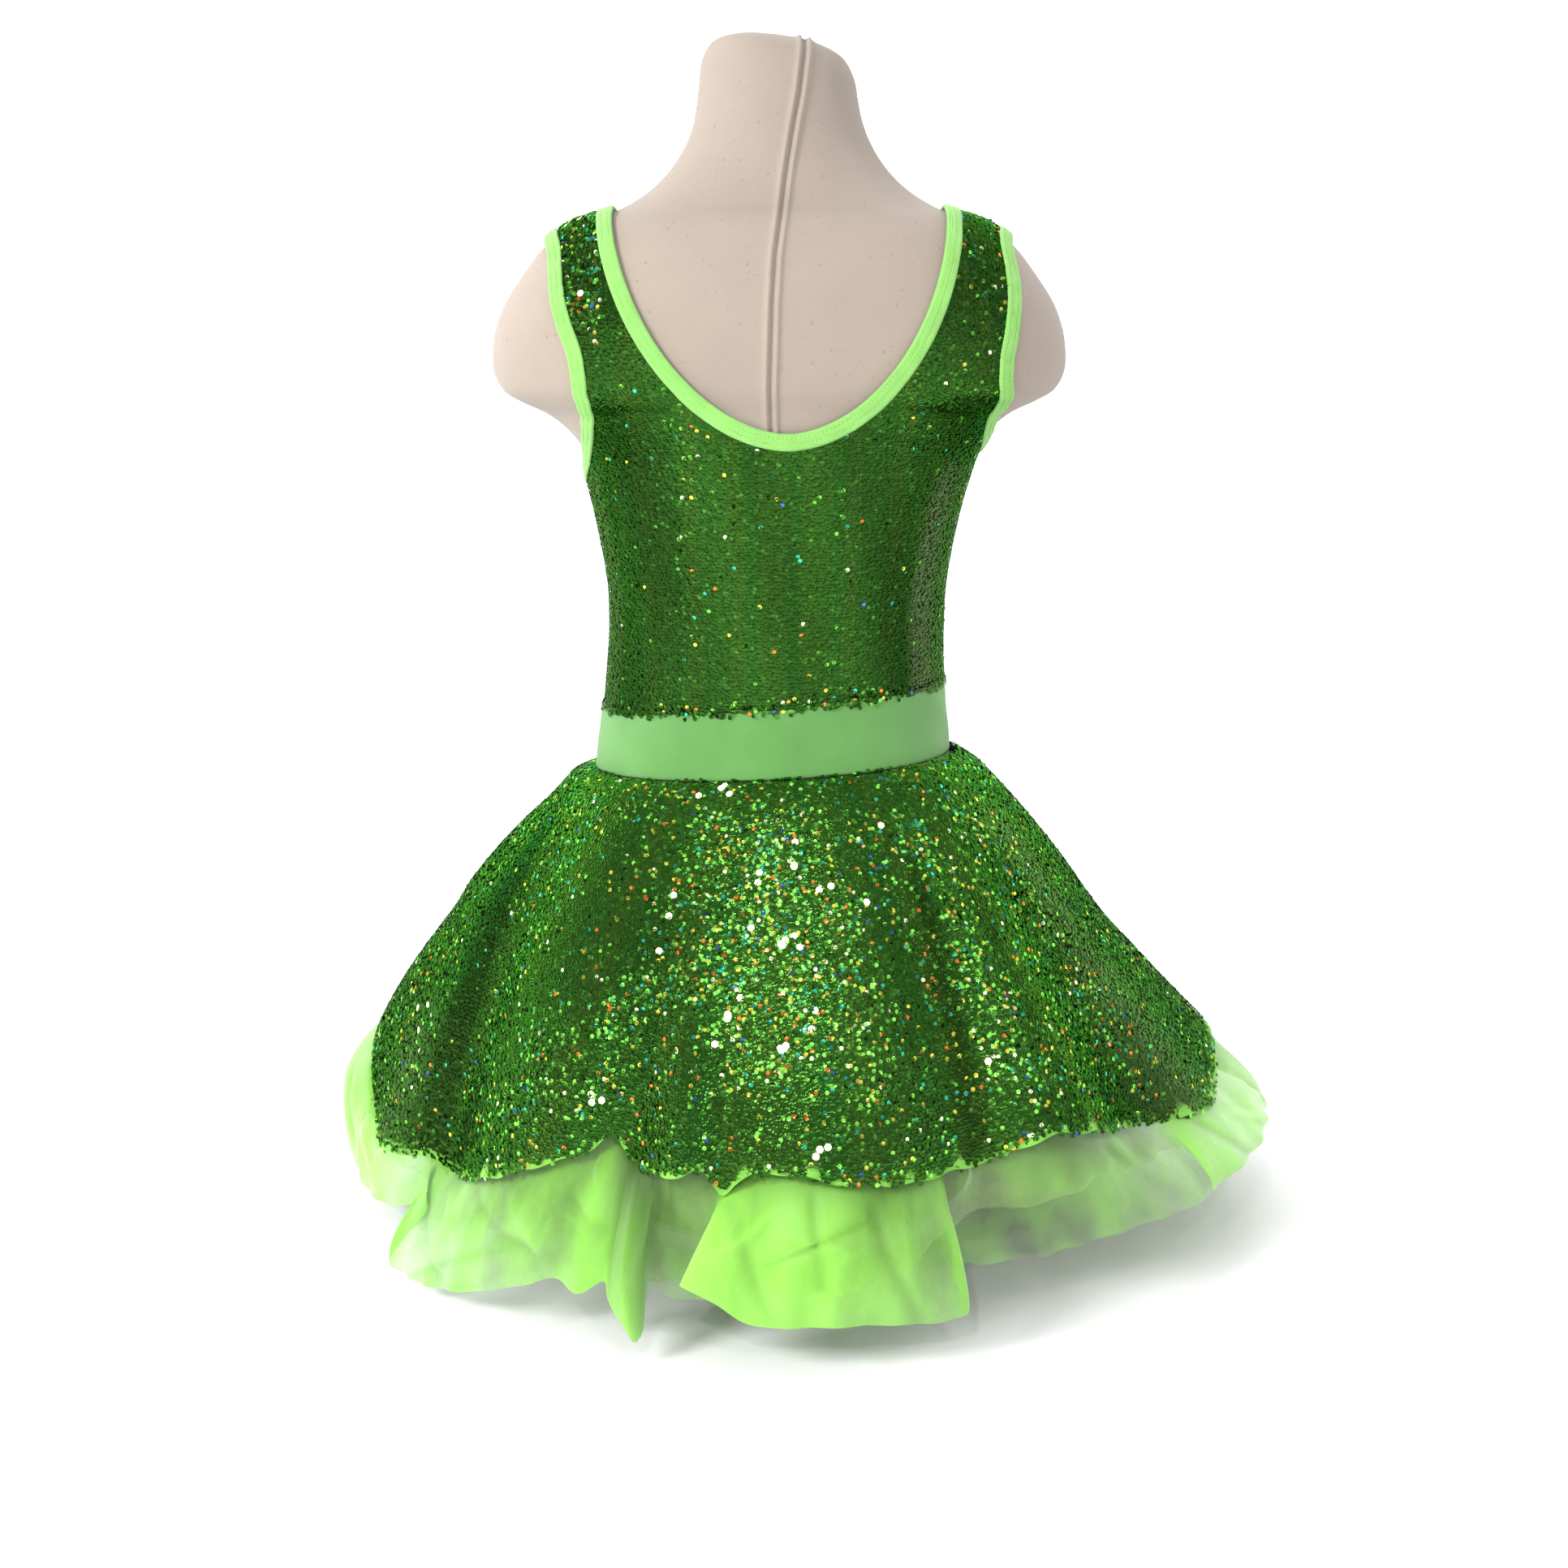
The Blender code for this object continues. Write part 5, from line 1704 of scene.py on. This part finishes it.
def bodice_cloth(name, back):
    """The ground cloth of half the bodice."""
    middle = middle_turn(back)
    patches = []
    for grid in bodice_grids(back, BINDING_WIDTH * 0.8):
        turn, run = grid[..., 0] + middle, grid[..., 1]
        points = on_form(turn, run, BODICE_OUT + SEQUIN_CLOTH * 0.45)
        points[..., 1] += seam_shift(back)
        patches.append((points, np.stack([turn * 0.09, run], axis=-1)))
    corners, flat, faces = merged(patches)
    # painted shade over the whole bodice cloth, which lies under sequins
    piece = put_together(
        name + "_cloth", corners, faces, [ground_look(bpy.context.scene.leotard_colours)],
        flat, marks={"sequin_shade": np.ones(len(corners))})
    face_away_from_axis(piece)
    settle(piece, "sequin_cloth", name)
    low, high = corners.min(0), corners.max(0)
    wide, tall = 1.30 * float(high[0] - low[0]), 1.04 * float(high[2] - low[2])
    cut_area(piece, wide, tall)
    return piece


def face_away_from_axis(piece):
    """Makes a sheet's faces look away from the form's axis."""
    work = bmesh.new()
    work.from_mesh(piece.data)
    bmesh.ops.recalc_face_normals(work, faces=work.faces)
    vote = 0.0
    for face in work.faces:
        middle = face.calc_center_median()
        vote += face.normal.x * middle.x + face.normal.y * middle.y
    if vote < 0:
        bmesh.ops.reverse_faces(work, faces=work.faces)
    work.to_mesh(piece.data)
    work.free()


def inside_outline(points, line):
    """Which points lie inside a closed line."""
    x, y = points[:, 0], points[:, 1]
    inside = np.zeros(len(points), bool)
    ends = np.roll(line, -1, axis=0)
    for (ax, ay), (bx, by) in zip(line, ends):
        crossing = (ay > y) != (by > y)
        if not crossing.any():
            continue
        at = ax + (y - ay) / (by - ay if by != ay else 1e-12) * (bx - ax)
        inside ^= crossing & (x < at)
    return inside


def bodice_sequins(name, back, seed):
    """Rows of sequins over half the bodice."""
    sizes = bpy.context.scene.leotard_sizes
    chance = np.random.default_rng(seed)
    middle = middle_turn(back)
    outline = outline_of(bodice_grids(back, BINDING_WIDTH * 0.80))
    quarter = math.pi / 2
    low = run_at(BAND_TOP - 0.012)
    apart = 1.0 if back else 1.15
    rows = np.arange(low, FORM_RUN[-1], sizes.row_pitch * apart)
    places = []
    fine = np.linspace(-quarter, quarter, 400)
    for number, run in enumerate(rows):
        line = bare_form(fine + middle, np.full_like(fine, run))
        length = lengths(line)
        count = int(length[-1] / sizes.sequin_pitch / apart)
        at = (np.arange(count) + (number % 2) * 0.5 + chance.uniform(0.1, 0.4)) / count
        across = np.interp(at * length[-1], length, fine)
        places.append(np.stack([across, np.full_like(across, run)], axis=1))
    places = np.concatenate(places)
    places[:, 1] += chance.normal(0, 0.00045, len(places))
    places[:, 0] += chance.normal(0, 0.0045, len(places))
    foot = level(BAND_TOP, BAND_TOP_RISE, places[:, 0] + middle)
    string = ((places[:, 0] + quarter) / (2 * quarter) * BODICE_STRINGS).astype(int)
    string = string % BODICE_STRINGS
    ragged = (0.0042 * chance.uniform(0.0, 1.0, BODICE_STRINGS))[string]
    hanging = (places[:, 1] <= foot + 0.0006) & (places[:, 1] > foot - ragged)
    hanging &= np.abs(places[:, 0]) < quarter - 0.01
    keep = inside_outline(places, outline) | hanging
    kept, over = places[keep], soft_step(foot[keep] - places[keep][:, 1], -0.003, 0.0)
    turn, run = kept[:, 0] + middle, kept[:, 1]
    points = on_form(turn, run, BODICE_OUT + SEQUIN_CLOTH * 0.75 + 0.0011 * over)
    normals = form_normal(turn, run)
    ups = unit(bare_form(turn, run + SLOPE_STEP) - bare_form(turn, run))
    above = points[:, 2] - (BAND_TOP + BAND_TOP_RISE * points[:, 0])
    x, height = points[:, 0], points[:, 2]
    # painted highlights: more bright and vivid sequins, and looser ones, just above the band, on
    # both straps and along a thin upright line
    sparkle = 0.03 + 0.75 * np.exp(-(above / 0.006) ** 2) * np.exp(-(x / 0.075) ** 4)
    sparkle += 0.95 * soft_step(-x, 0.088, 0.100) * soft_step(height, 0.495, 0.520)
    sparkle += 0.30 * soft_step(x, 0.095, 0.105) * soft_step(height, 0.480, 0.510)
    sparkle += 0.16 * np.exp(-((x + 0.052) / 0.006) ** 2)
    # painted sheen: a grey reflection where the bodice turns to its sides
    sheen = soft_step(normals[:, 0], 0.62, 0.74) + soft_step(-normals[:, 0], 0.80, 0.88)
    sheen = sheen * soft_step(0.452 - points[:, 2], 0, 0.03)
    sheen = sheen * soft_step(np.abs(normals[:, 1]), 0.02, 0.20)
    # painted shade: darker towards the sides, with a wavy change across
    side = soft_step(np.abs(normals[:, 0]), 0.30, 0.62) * (1 - sheen)
    shade = 0.16 + 0.30 * side + 0.10 * np.sin(9 * turn + 25 * points[:, 2])
    # painted light: lifts the dark where the form turns under at the armholes
    shade -= 0.30 * np.exp(-((height - 0.468) / 0.007) ** 2) * soft_step(np.abs(x), 0.06, 0.09)
    sparkle = np.clip(sparkle * (1 - sheen), 0, 1)
    piece = lay_sequins(
        name, points, normals, ups, sizes, sparkle, tones(turn, sheen, shade), seed + 1)
    return settle(piece, "sequin_cloth")


def soft_step(value, low, high):
    """From 0 at low to 1 at high, smooth at both ends."""
    share = np.clip((value - low) / (high - low), 0, 1)
    return share ** 2 * (3 - 2 * share)


def tones(turn, sheen, shade):
    """The colour that plain sequins drift to, how much, and how far they are darkened by painted
    shade; where the sheen mark is, the colour is a painted grey sheen.
    """
    band = 0.5 + 0.30 * np.sin(23 * turn + 1.0) + 0.20 * np.sin(41 * turn + 2.2)
    olive, deep = np.array([0.052, 0.122, 0.014]), np.array([0.022, 0.112, 0.014])
    # painted reflection: the grey of the sheen
    painted_sheen_grey = np.array([0.090, 0.122, 0.060])
    colour = deep + (olive - deep) * band[:, None]
    colour = colour * (1 - sheen[:, None]) + painted_sheen_grey * sheen[:, None]
    much = 0.45 + 0.50 * sheen
    return np.concatenate([colour, much[:, None], shade[:, None]], axis=1)


def skirt_cloth(name, back, look, node):
    """Half of the skirt's ground cloth, bare along its hem."""
    first = math.pi if back else 0.0
    downs = np.concatenate([np.linspace(0, 0.96, 56), np.linspace(0.96, 1.0, 8)[1:]])
    turn = first + np.linspace(0, math.pi, 281)[None, :]
    turn, down = np.broadcast_arrays(turn, downs[:, None])
    flutter = 0.0008 * np.sin(37 * turn) + 0.0006 * np.sin(83 * turn + 1.0)
    edge = np.clip((down - 0.93) / 0.07, 0, 1)
    grid = moved_out(trimmed_skirt, turn, down, SEQUIN_CLOTH * 0.45 + flutter * edge)
    grid[..., 2] += 0.0010 * np.sin(53 * turn) * edge
    grid[..., 1] += seam_shift(back)
    flat = np.stack([turn * 0.2, down * 0.2], axis=-1).reshape(-1, 2)
    # painted shade under the sequins, left off along the bare rim of the hem
    sequin_shade = np.clip((0.985 - down) / 0.012, 0, 1)
    piece = put_together(
        name, grid, grid_faces(*grid.shape[:2])[:, ::-1], [look], flat,
        marks={"sequin_shade": sequin_shade.reshape(-1)})
    settle(piece, "sequin_cloth", node)
    declare_flare(piece, grid)
    return piece


def skirt_sequins(name, start, seed):
    """Rings of sequins down a quarter of the skirt, ending in ragged strings above its hem."""
    sizes = bpy.context.scene.leotard_sizes
    chance = np.random.default_rng(seed)
    quarter = math.pi / 2
    fine = start + np.linspace(0, quarter, 361)
    middle = np.full(200, start + quarter / 2)
    drop = lengths(trimmed_skirt(middle, np.linspace(0, 1, 200)))[-1]
    ring_count = int(drop / sizes.row_pitch)
    places = []
    for number in range(-2, ring_count + 3):
        down = (number + 0.2) / ring_count
        length = lengths(trimmed_skirt(fine, np.full_like(fine, down)))
        count = int(length[-1] / sizes.sequin_pitch)
        at = (np.arange(count) + (number % 2) * 0.5 + chance.uniform(0.1, 0.4)) / count
        turn = np.interp(at * length[-1], length, fine)
        places.append(np.stack([turn, np.full_like(turn, down)], axis=1))
    places = np.concatenate(places)
    places[:, 0] += chance.normal(0, 0.0016, len(places))
    places[:, 1] += chance.normal(0, 0.0017, len(places))
    string = ((places[:, 0] - start) / quarter * SKIRT_STRINGS).astype(int)
    string = np.clip(string, 0, SKIRT_STRINGS - 1)
    short = (sizes.hem_rim * chance.uniform(-0.9, 1.4, SKIRT_STRINGS))[string]
    high = (0.0025 * chance.uniform(-0.2, 1.0, SKIRT_STRINGS))[string]
    keep = (
        (places[:, 1] < 1 - short / drop) & (places[:, 1] > -high / drop)
        & (places[:, 0] > start) & (places[:, 0] < start + quarter))
    turn, down = places[keep].T
    beyond = (down - np.clip(down, 0, 1)) * drop
    down = np.clip(down, 0, 1)
    points = moved_out(trimmed_skirt, turn, down, SEQUIN_CLOTH * 0.75)
    points[:, 2] -= beyond
    normals = flare_normal(trimmed_skirt, turn, down)
    step = 1e-3
    ups = unit(
        trimmed_skirt(turn, np.clip(down - step, 0, 1))
        - trimmed_skirt(turn, np.clip(down + step, 0, 1)))
    # painted highlights where the skirt sparkles
    sparkle = np.full(len(points), 0.32)
    for at, half, top, foot, much in SPARKLING:
        off = degrees_from(np.degrees(turn), at)
        within = np.clip((down - top) / 0.12, 0, 1) * np.clip((foot - down) / 0.12, 0, 1)
        sparkle += much * np.exp(-(off / half) ** 2) * within
    degrees = np.degrees(turn) % 360
    # painted sheen: a grey reflection on a few slopes of the skirt
    sheen = 0.8 * np.exp(-((degrees - 338) / 7) ** 2) * soft_step(down, 0.05, 0.3)
    sheen += 0.7 * np.exp(-((degrees - 196) / 5) ** 2) * soft_step(down, 0.7, 0.85)
    sheen += 0.6 * np.exp(-((degrees - 158) / 7) ** 2) * soft_step(down, 0.1, 0.4)
    sheen += 0.6 * np.exp(-((degrees - 40) / 6) ** 2) * soft_step(down, 0.2, 0.5)
    # painted shade in the skirt's valleys
    valley = sum(
        much * soft_step(down, begin, begin + 0.25)
        * np.exp(-(degrees_from(degrees - top, (foot - top) * down) / half) ** 2)
        for top, foot, half, begin, much in VALLEYS)
    valley = np.clip(valley, 0, 1) * (1 - sheen)
    sparkle = np.clip(sparkle * (1 - 0.7 * sheen) * (1 - 0.75 * valley), 0, 1)
    # painted shade in the valleys, painted highlight where it sparkles
    shade = 0.06 + 0.66 * valley - 0.60 * sparkle
    flash = None
    # painted glints: sequins nearest each group's points are made to glow white
    if start >= math.pi:
        flash = np.zeros(len(points), bool)
        spots = np.random.default_rng(GLINT_SEED)
        for centre, loose, lie, slack, number in GLINTS:
            for at, low in zip(spots.normal(centre, loose, number),
                               spots.normal(lie, slack, number)):
                off = np.hypot((degrees - at) * DEGREE_REACH, (down - low) * drop)
                flash[np.argmin(off)] |= off.min() < sizes.sequin
    piece = lay_sequins(
        name, points, normals, ups, sizes, sparkle, tones(turn, sheen, shade), seed + 1, flash)
    return settle(piece, "sequin_cloth")


def petticoat_cloth(name, back, inner, look):
    """Half of a petticoat layer with its folds."""
    first = 180.0 if back else 0.0
    downs = np.concatenate([np.linspace(0.0, 1.0, 22)[1:], np.linspace(1.0, 2.0, 34)[1:]])
    place = first + np.linspace(0, 180, 401 if not inner else 301)[None, :]
    place, down = np.broadcast_arrays(place, downs[:, None])
    if inner:
        turn = np.radians(place)
        points = outer_petticoat(turn, down)
        share = down / 2
        slack = INNER_EASE * share + 0.004 * (1 + np.cos(17 * turn + 0.6)) * share ** 2
        slack = slack + 0.0018 * (1 + np.cos(43 * turn + 1.0)) * share ** 3
        near = 1 - (slack + 0.012 * share) / np.hypot(points[..., 0], points[..., 1])
        wider = side_reach(place, down) * np.clip(down, 0, 1)
        near = near + wider / np.hypot(points[..., 0], points[..., 1])
        rise = 0.004 * np.sin(5 * turn) * np.clip(down - 1, 0, 1) + 0.010 * np.clip(down - 1, 0, 1)
        points = points * np.stack([near, near, np.ones_like(near)], axis=-1)
        points[..., 2] += rise
        cover = 0.24 + 0.46 * np.exp(-((place - 257) / 7) ** 4)
        cover = cover + 0.40 * np.exp(-((place - 312) / 20) ** 4)
        cover = cover + 0.38 * np.exp(-((place - 287) / 6) ** 4)
    else:
        points = folded_petticoat(place, down)
        fine = 0.0011 * np.sin(np.radians(place) * 61 + 1.2 * np.sin(np.radians(place) * 7))
        fine = fine * np.clip(down - 0.9, 0, 1)
        near = 1 + fine / np.hypot(points[..., 0], points[..., 1])
        points = points * np.stack([near, near, np.ones_like(near)], axis=-1)
        cover = hem_path(place)[..., 3]
        cover = np.where(down < 1.0, 0.8, cover + 0.15 * np.clip(1.25 - down, 0, 1))
    points[..., 1] += seam_shift(back)
    # painted shadow: darker just below the skirt's hem, and dark all over under the skirt
    tone_and_shading = 1 - 0.50 * np.exp(-np.clip(down - 1, 0, 1) / 0.17)
    tone_and_shading = tone_and_shading * (1 + 0.05 * np.sin(np.radians(place) * 71 + 2 * np.sin(place * 0.2)))
    if not inner:
        # painted light and shade: creases that swing out are lighter, creases that swing in
        # darker, all a little darker overall
        tone_and_shading = 0.91 * tone_and_shading * (1 + 110 * creases(place, down - 1) * (down > 1))
        # painted shade on the hanging fold near 250 degrees
        hanging = np.exp(-((place - 250) / 4.5) ** 4) * np.clip(2.1 - down, 0, 1) ** 0.7
        tone_and_shading = tone_and_shading * (1 - 0.78 * hanging)
    tone_and_shading = np.clip(np.repeat(tone_and_shading.reshape(-1, 1), 4, axis=1), 0, 1)
    hem = lengths(points[-1])
    flat = np.stack(
        np.broadcast_arrays(hem[None, :], down[:, :1] * 0.13), axis=-1).reshape(-1, 2)
    piece = put_together(
        name, points, grid_faces(*points.shape[:2])[:, ::-1], [look], flat,
        marks={"cover": cover.reshape(-1), "tone_and_shading": tone_and_shading})
    settle(piece, "lime_organza", name.replace("_cloth", ""))
    declare_flare(piece, points)
    return piece


def brief_cloth(name, back):
    """Half of the leotard's brief."""
    row, across = np.meshgrid(
        np.linspace(0, len(BRIEF) - 1, 45), np.linspace(-1, 1, 49), indexing="ij")
    points = brief_point(row, across, back)
    step = BRIEF_STEP
    along = brief_point(row, across + step, back) - brief_point(row, across - step, back)
    low, high = np.clip(row - step, 0, None), np.clip(row + step, None, len(BRIEF) - 1)
    fall = brief_point(high, across, back) - brief_point(low, across, back)
    normal = unit(np.cross(fall, along)) * (1 if back else -1)
    points = points + normal * (BRIEF_OUT + 0.0005)
    points[..., 1] += seam_shift(back)
    flat = np.stack([across * 0.1, row * 0.012], axis=-1).reshape(-1, 2)
    faces = grid_faces(*points.shape[:2])
    piece = put_together(
        name + "_cloth", points, faces, [ground_look(bpy.context.scene.leotard_colours)],
        flat)
    face_away_from_axis(piece)
    settle(piece, "lime_lining", name)
    wide = lengths(points[0])[-1]
    tall = lengths(points[:, 24])[-1]
    cut_area(piece, wide, tall)
    return piece


class LEOTARD_OT_form(bpy.types.Operator):
    """Covers the form with jersey and paints its stand"""
    bl_idname = "leotard.form"
    bl_label = "Dress form"

    def execute(self, context):
        jersey_cover()
        paint = paint_look(context.scene.leotard_colours)
        for node in ("stand_base", "stand_rod_left", "stand_rod_right"):
            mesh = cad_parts[node].data
            mesh.materials.clear()
            mesh.materials.append(paint)
        return {"FINISHED"}


class LEOTARD_OT_bindings(bpy.types.Operator):
    """Folds the tape round the neck and armholes and stitches it"""
    bl_idname = "leotard.bindings"
    bl_label = "Bindings"

    def execute(self, context):
        edges = [neck_line(150), armhole_line(-1, 90), armhole_line(1, 90)]
        names = ("neck_binding", "armhole_binding_left", "armhole_binding_right")
        for number, (name, edge) in enumerate(zip(names, edges)):
            tape(name + "_tape", edge, 11 + number)
        tape_stitches("binding_stitches", edges, context.scene.leotard_sizes)
        return {"FINISHED"}


class LEOTARD_OT_waistband(bpy.types.Operator):
    """Makes the plain waistband"""
    bl_idname = "leotard.waistband"
    bl_label = "Waistband"

    def execute(self, context):
        waist_band()
        return {"FINISHED"}


class LEOTARD_OT_bodice(bpy.types.Operator):
    """Makes the bodice's cloth and its sequins"""
    bl_idname = "leotard.bodice"
    bl_label = "Bodice"

    def execute(self, context):
        for number, (half, back) in enumerate((("back", True), ("front", False))):
            bodice_cloth("bodice_" + half, back)
            bodice_sequins("bodice_sequins_" + half, back, 101 + number * 10)
        return {"FINISHED"}


class LEOTARD_OT_skirt(bpy.types.Operator):
    """Makes the skirt's cloth and its sequins"""
    bl_idname = "leotard.skirt"
    bl_label = "Skirt"

    def execute(self, context):
        look = ground_look(context.scene.leotard_colours)
        for half, back in (("back", True), ("front", False)):
            skirt_cloth(f"skirt_{half}_cloth", back, look, "skirt_" + half)
        quarters = (("front_right", 0), ("front_left", 1), ("back_left", 2), ("back_right", 3))
        for side, quarter in quarters:
            skirt_sequins("skirt_sequins_" + side, quarter * math.pi / 2, 200 + quarter * 10)
        return {"FINISHED"}


class LEOTARD_OT_petticoats(bpy.types.Operator):
    """Gathers the organza layers under the skirt"""
    bl_idname = "leotard.petticoats"
    bl_label = "Petticoats"

    def execute(self, context):
        colours = context.scene.leotard_colours
        looks = (
            organza_look("lime organza", colours.organza),
            organza_look("shaded organza", colours.organza_inside))
        for half, back in (("back", True), ("front", False)):
            petticoat_cloth(f"petticoat_outer_{half}_cloth", back, False, looks[0])
            petticoat_cloth(f"petticoat_inner_{half}_cloth", back, True, looks[1])
        return {"FINISHED"}


class LEOTARD_OT_brief(bpy.types.Operator):
    """Makes the leotard's brief"""
    bl_idname = "leotard.brief"
    bl_label = "Brief"

    def execute(self, context):
        brief_cloth("brief_back", True)
        brief_cloth("brief_front", False)
        return {"FINISHED"}


class LEOTARD_OT_stage(bpy.types.Operator):
    """Sets the pale floor, the soft lights and the camera"""
    bl_idname = "leotard.stage"
    bl_label = "Stage"

    def execute(self, context):
        deselect_all()
        bpy.ops.mesh.primitive_plane_add(size=60)
        floor = context.object
        floor.name = "floor"
        made, tree, shader = new_look("pale floor", (0.97, 0.97, 0.97), 0.9)
        patchy_colour(tree, shader, (0.97, 0.97, 0.97), (0.96, 0.96, 0.96), 1.0)
        floor.data.materials.append(made)
        bpy.ops.mesh.primitive_plane_add(
            size=60, location=(0, 3.5, 0), rotation=(math.pi / 2, 0, 0))
        backdrop = context.object
        backdrop.name = "backdrop"
        glow, _, shader = new_look("white backdrop", (0.9, 0.9, 0.9), 0.9)
        shader.inputs["Emission Color"].default_value = (1, 1, 1, 1)
        shader.inputs["Emission Strength"].default_value = 1.0
        backdrop.data.materials.append(glow)
        world = bpy.data.worlds.new("studio")
        world.use_nodes = True
        world.node_tree.nodes["Background"].inputs["Color"].default_value = (1, 1, 1, 1)
        world.node_tree.nodes["Background"].inputs["Strength"].default_value = 0.56
        context.scene.world = world
        lights = (
            ("key", (-1.9, -1.5, 1.7), 1.0, 70.0),
            ("fill", (1.8, -1.6, 1.2), 1.6, 0.6),
            ("top", (0.0, 0.2, 2.4), 1.2, 6.0),
            ("rim_left", (-2.0, 0.9, 0.9), 0.9, 6.0),
            ("rim_right", (2.0, 0.9, 0.9), 0.9, 1.5),
            ("sparkle_left", (-0.25, -1.8, 1.3), 0.07, 6.0),
            ("sparkle_right", (0.45, -1.8, 1.6), 0.07, 4.0),
        )
        for name, place, size, power in lights:
            deselect_all()
            bpy.ops.object.light_add(type="AREA", location=place)
            light = context.object
            light.name = name
            light.data.shape = "DISK"
            light.data.size = size
            light.data.energy = power
            light.visible_glossy = name != "key"
            aim = np.array([0.0, 0.0, 0.3]) - np.array(place)
            light.rotation_euler = (
                math.atan2(math.hypot(aim[0], aim[1]), -aim[2]), 0.0,
                math.atan2(-aim[0], aim[1]))
        stage = context.scene.leotard_stage
        deselect_all()
        bpy.ops.object.camera_add(
            location=(stage.side, -stage.distance, stage.height),
            rotation=(math.pi / 2 - stage.pitch, stage.roll, 0))
        camera = context.object
        camera.name = "camera"
        camera.data.sensor_fit = "HORIZONTAL"
        camera.data.angle = stage.view
        camera.data.clip_end = 60
        context.scene.camera = camera
        context.scene.view_settings.view_transform = "Standard"
        return {"FINISHED"}


class LEOTARD_PT_pieces(bpy.types.Panel):
    bl_label = "Sequin leotard"
    bl_idname = "LEOTARD_PT_pieces"
    bl_space_type = "VIEW_3D"
    bl_region_type = "UI"
    bl_category = "Leotard"

    def draw(self, context):
        for kind in PIECES:
            self.layout.operator(kind.bl_idname)
        for group in ("leotard_sizes", "leotard_colours", "leotard_stage"):
            settings = getattr(context.scene, group)
            box = self.layout.box()
            for key in settings.bl_rna.properties.keys():
                if key not in ("rna_type", "name"):
                    box.prop(settings, key)


PIECES = (
    LEOTARD_OT_form, LEOTARD_OT_bindings, LEOTARD_OT_waistband, LEOTARD_OT_bodice,
    LEOTARD_OT_skirt, LEOTARD_OT_petticoats, LEOTARD_OT_brief, LEOTARD_OT_stage,
)
SETTINGS = {
    "leotard_sizes": LeotardSizes,
    "leotard_colours": LeotardColours,
    "leotard_stage": LeotardStage,
}


def register():
    for kind in (*SETTINGS.values(), *PIECES, LEOTARD_PT_pieces):
        bpy.utils.register_class(kind)
    for name, kind in SETTINGS.items():
        setattr(bpy.types.Scene, name, bpy.props.PointerProperty(type=kind))


def unregister():
    for name in SETTINGS:
        delattr(bpy.types.Scene, name)
    for kind in (LEOTARD_PT_pieces, *reversed(PIECES), *reversed(SETTINGS.values())):
        bpy.utils.unregister_class(kind)


def main():
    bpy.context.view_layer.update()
    register()
    for kind in PIECES:
        module, name = kind.bl_idname.split(".")
        getattr(getattr(bpy.ops, module), name)()


if __name__ == "__main__":
    main()
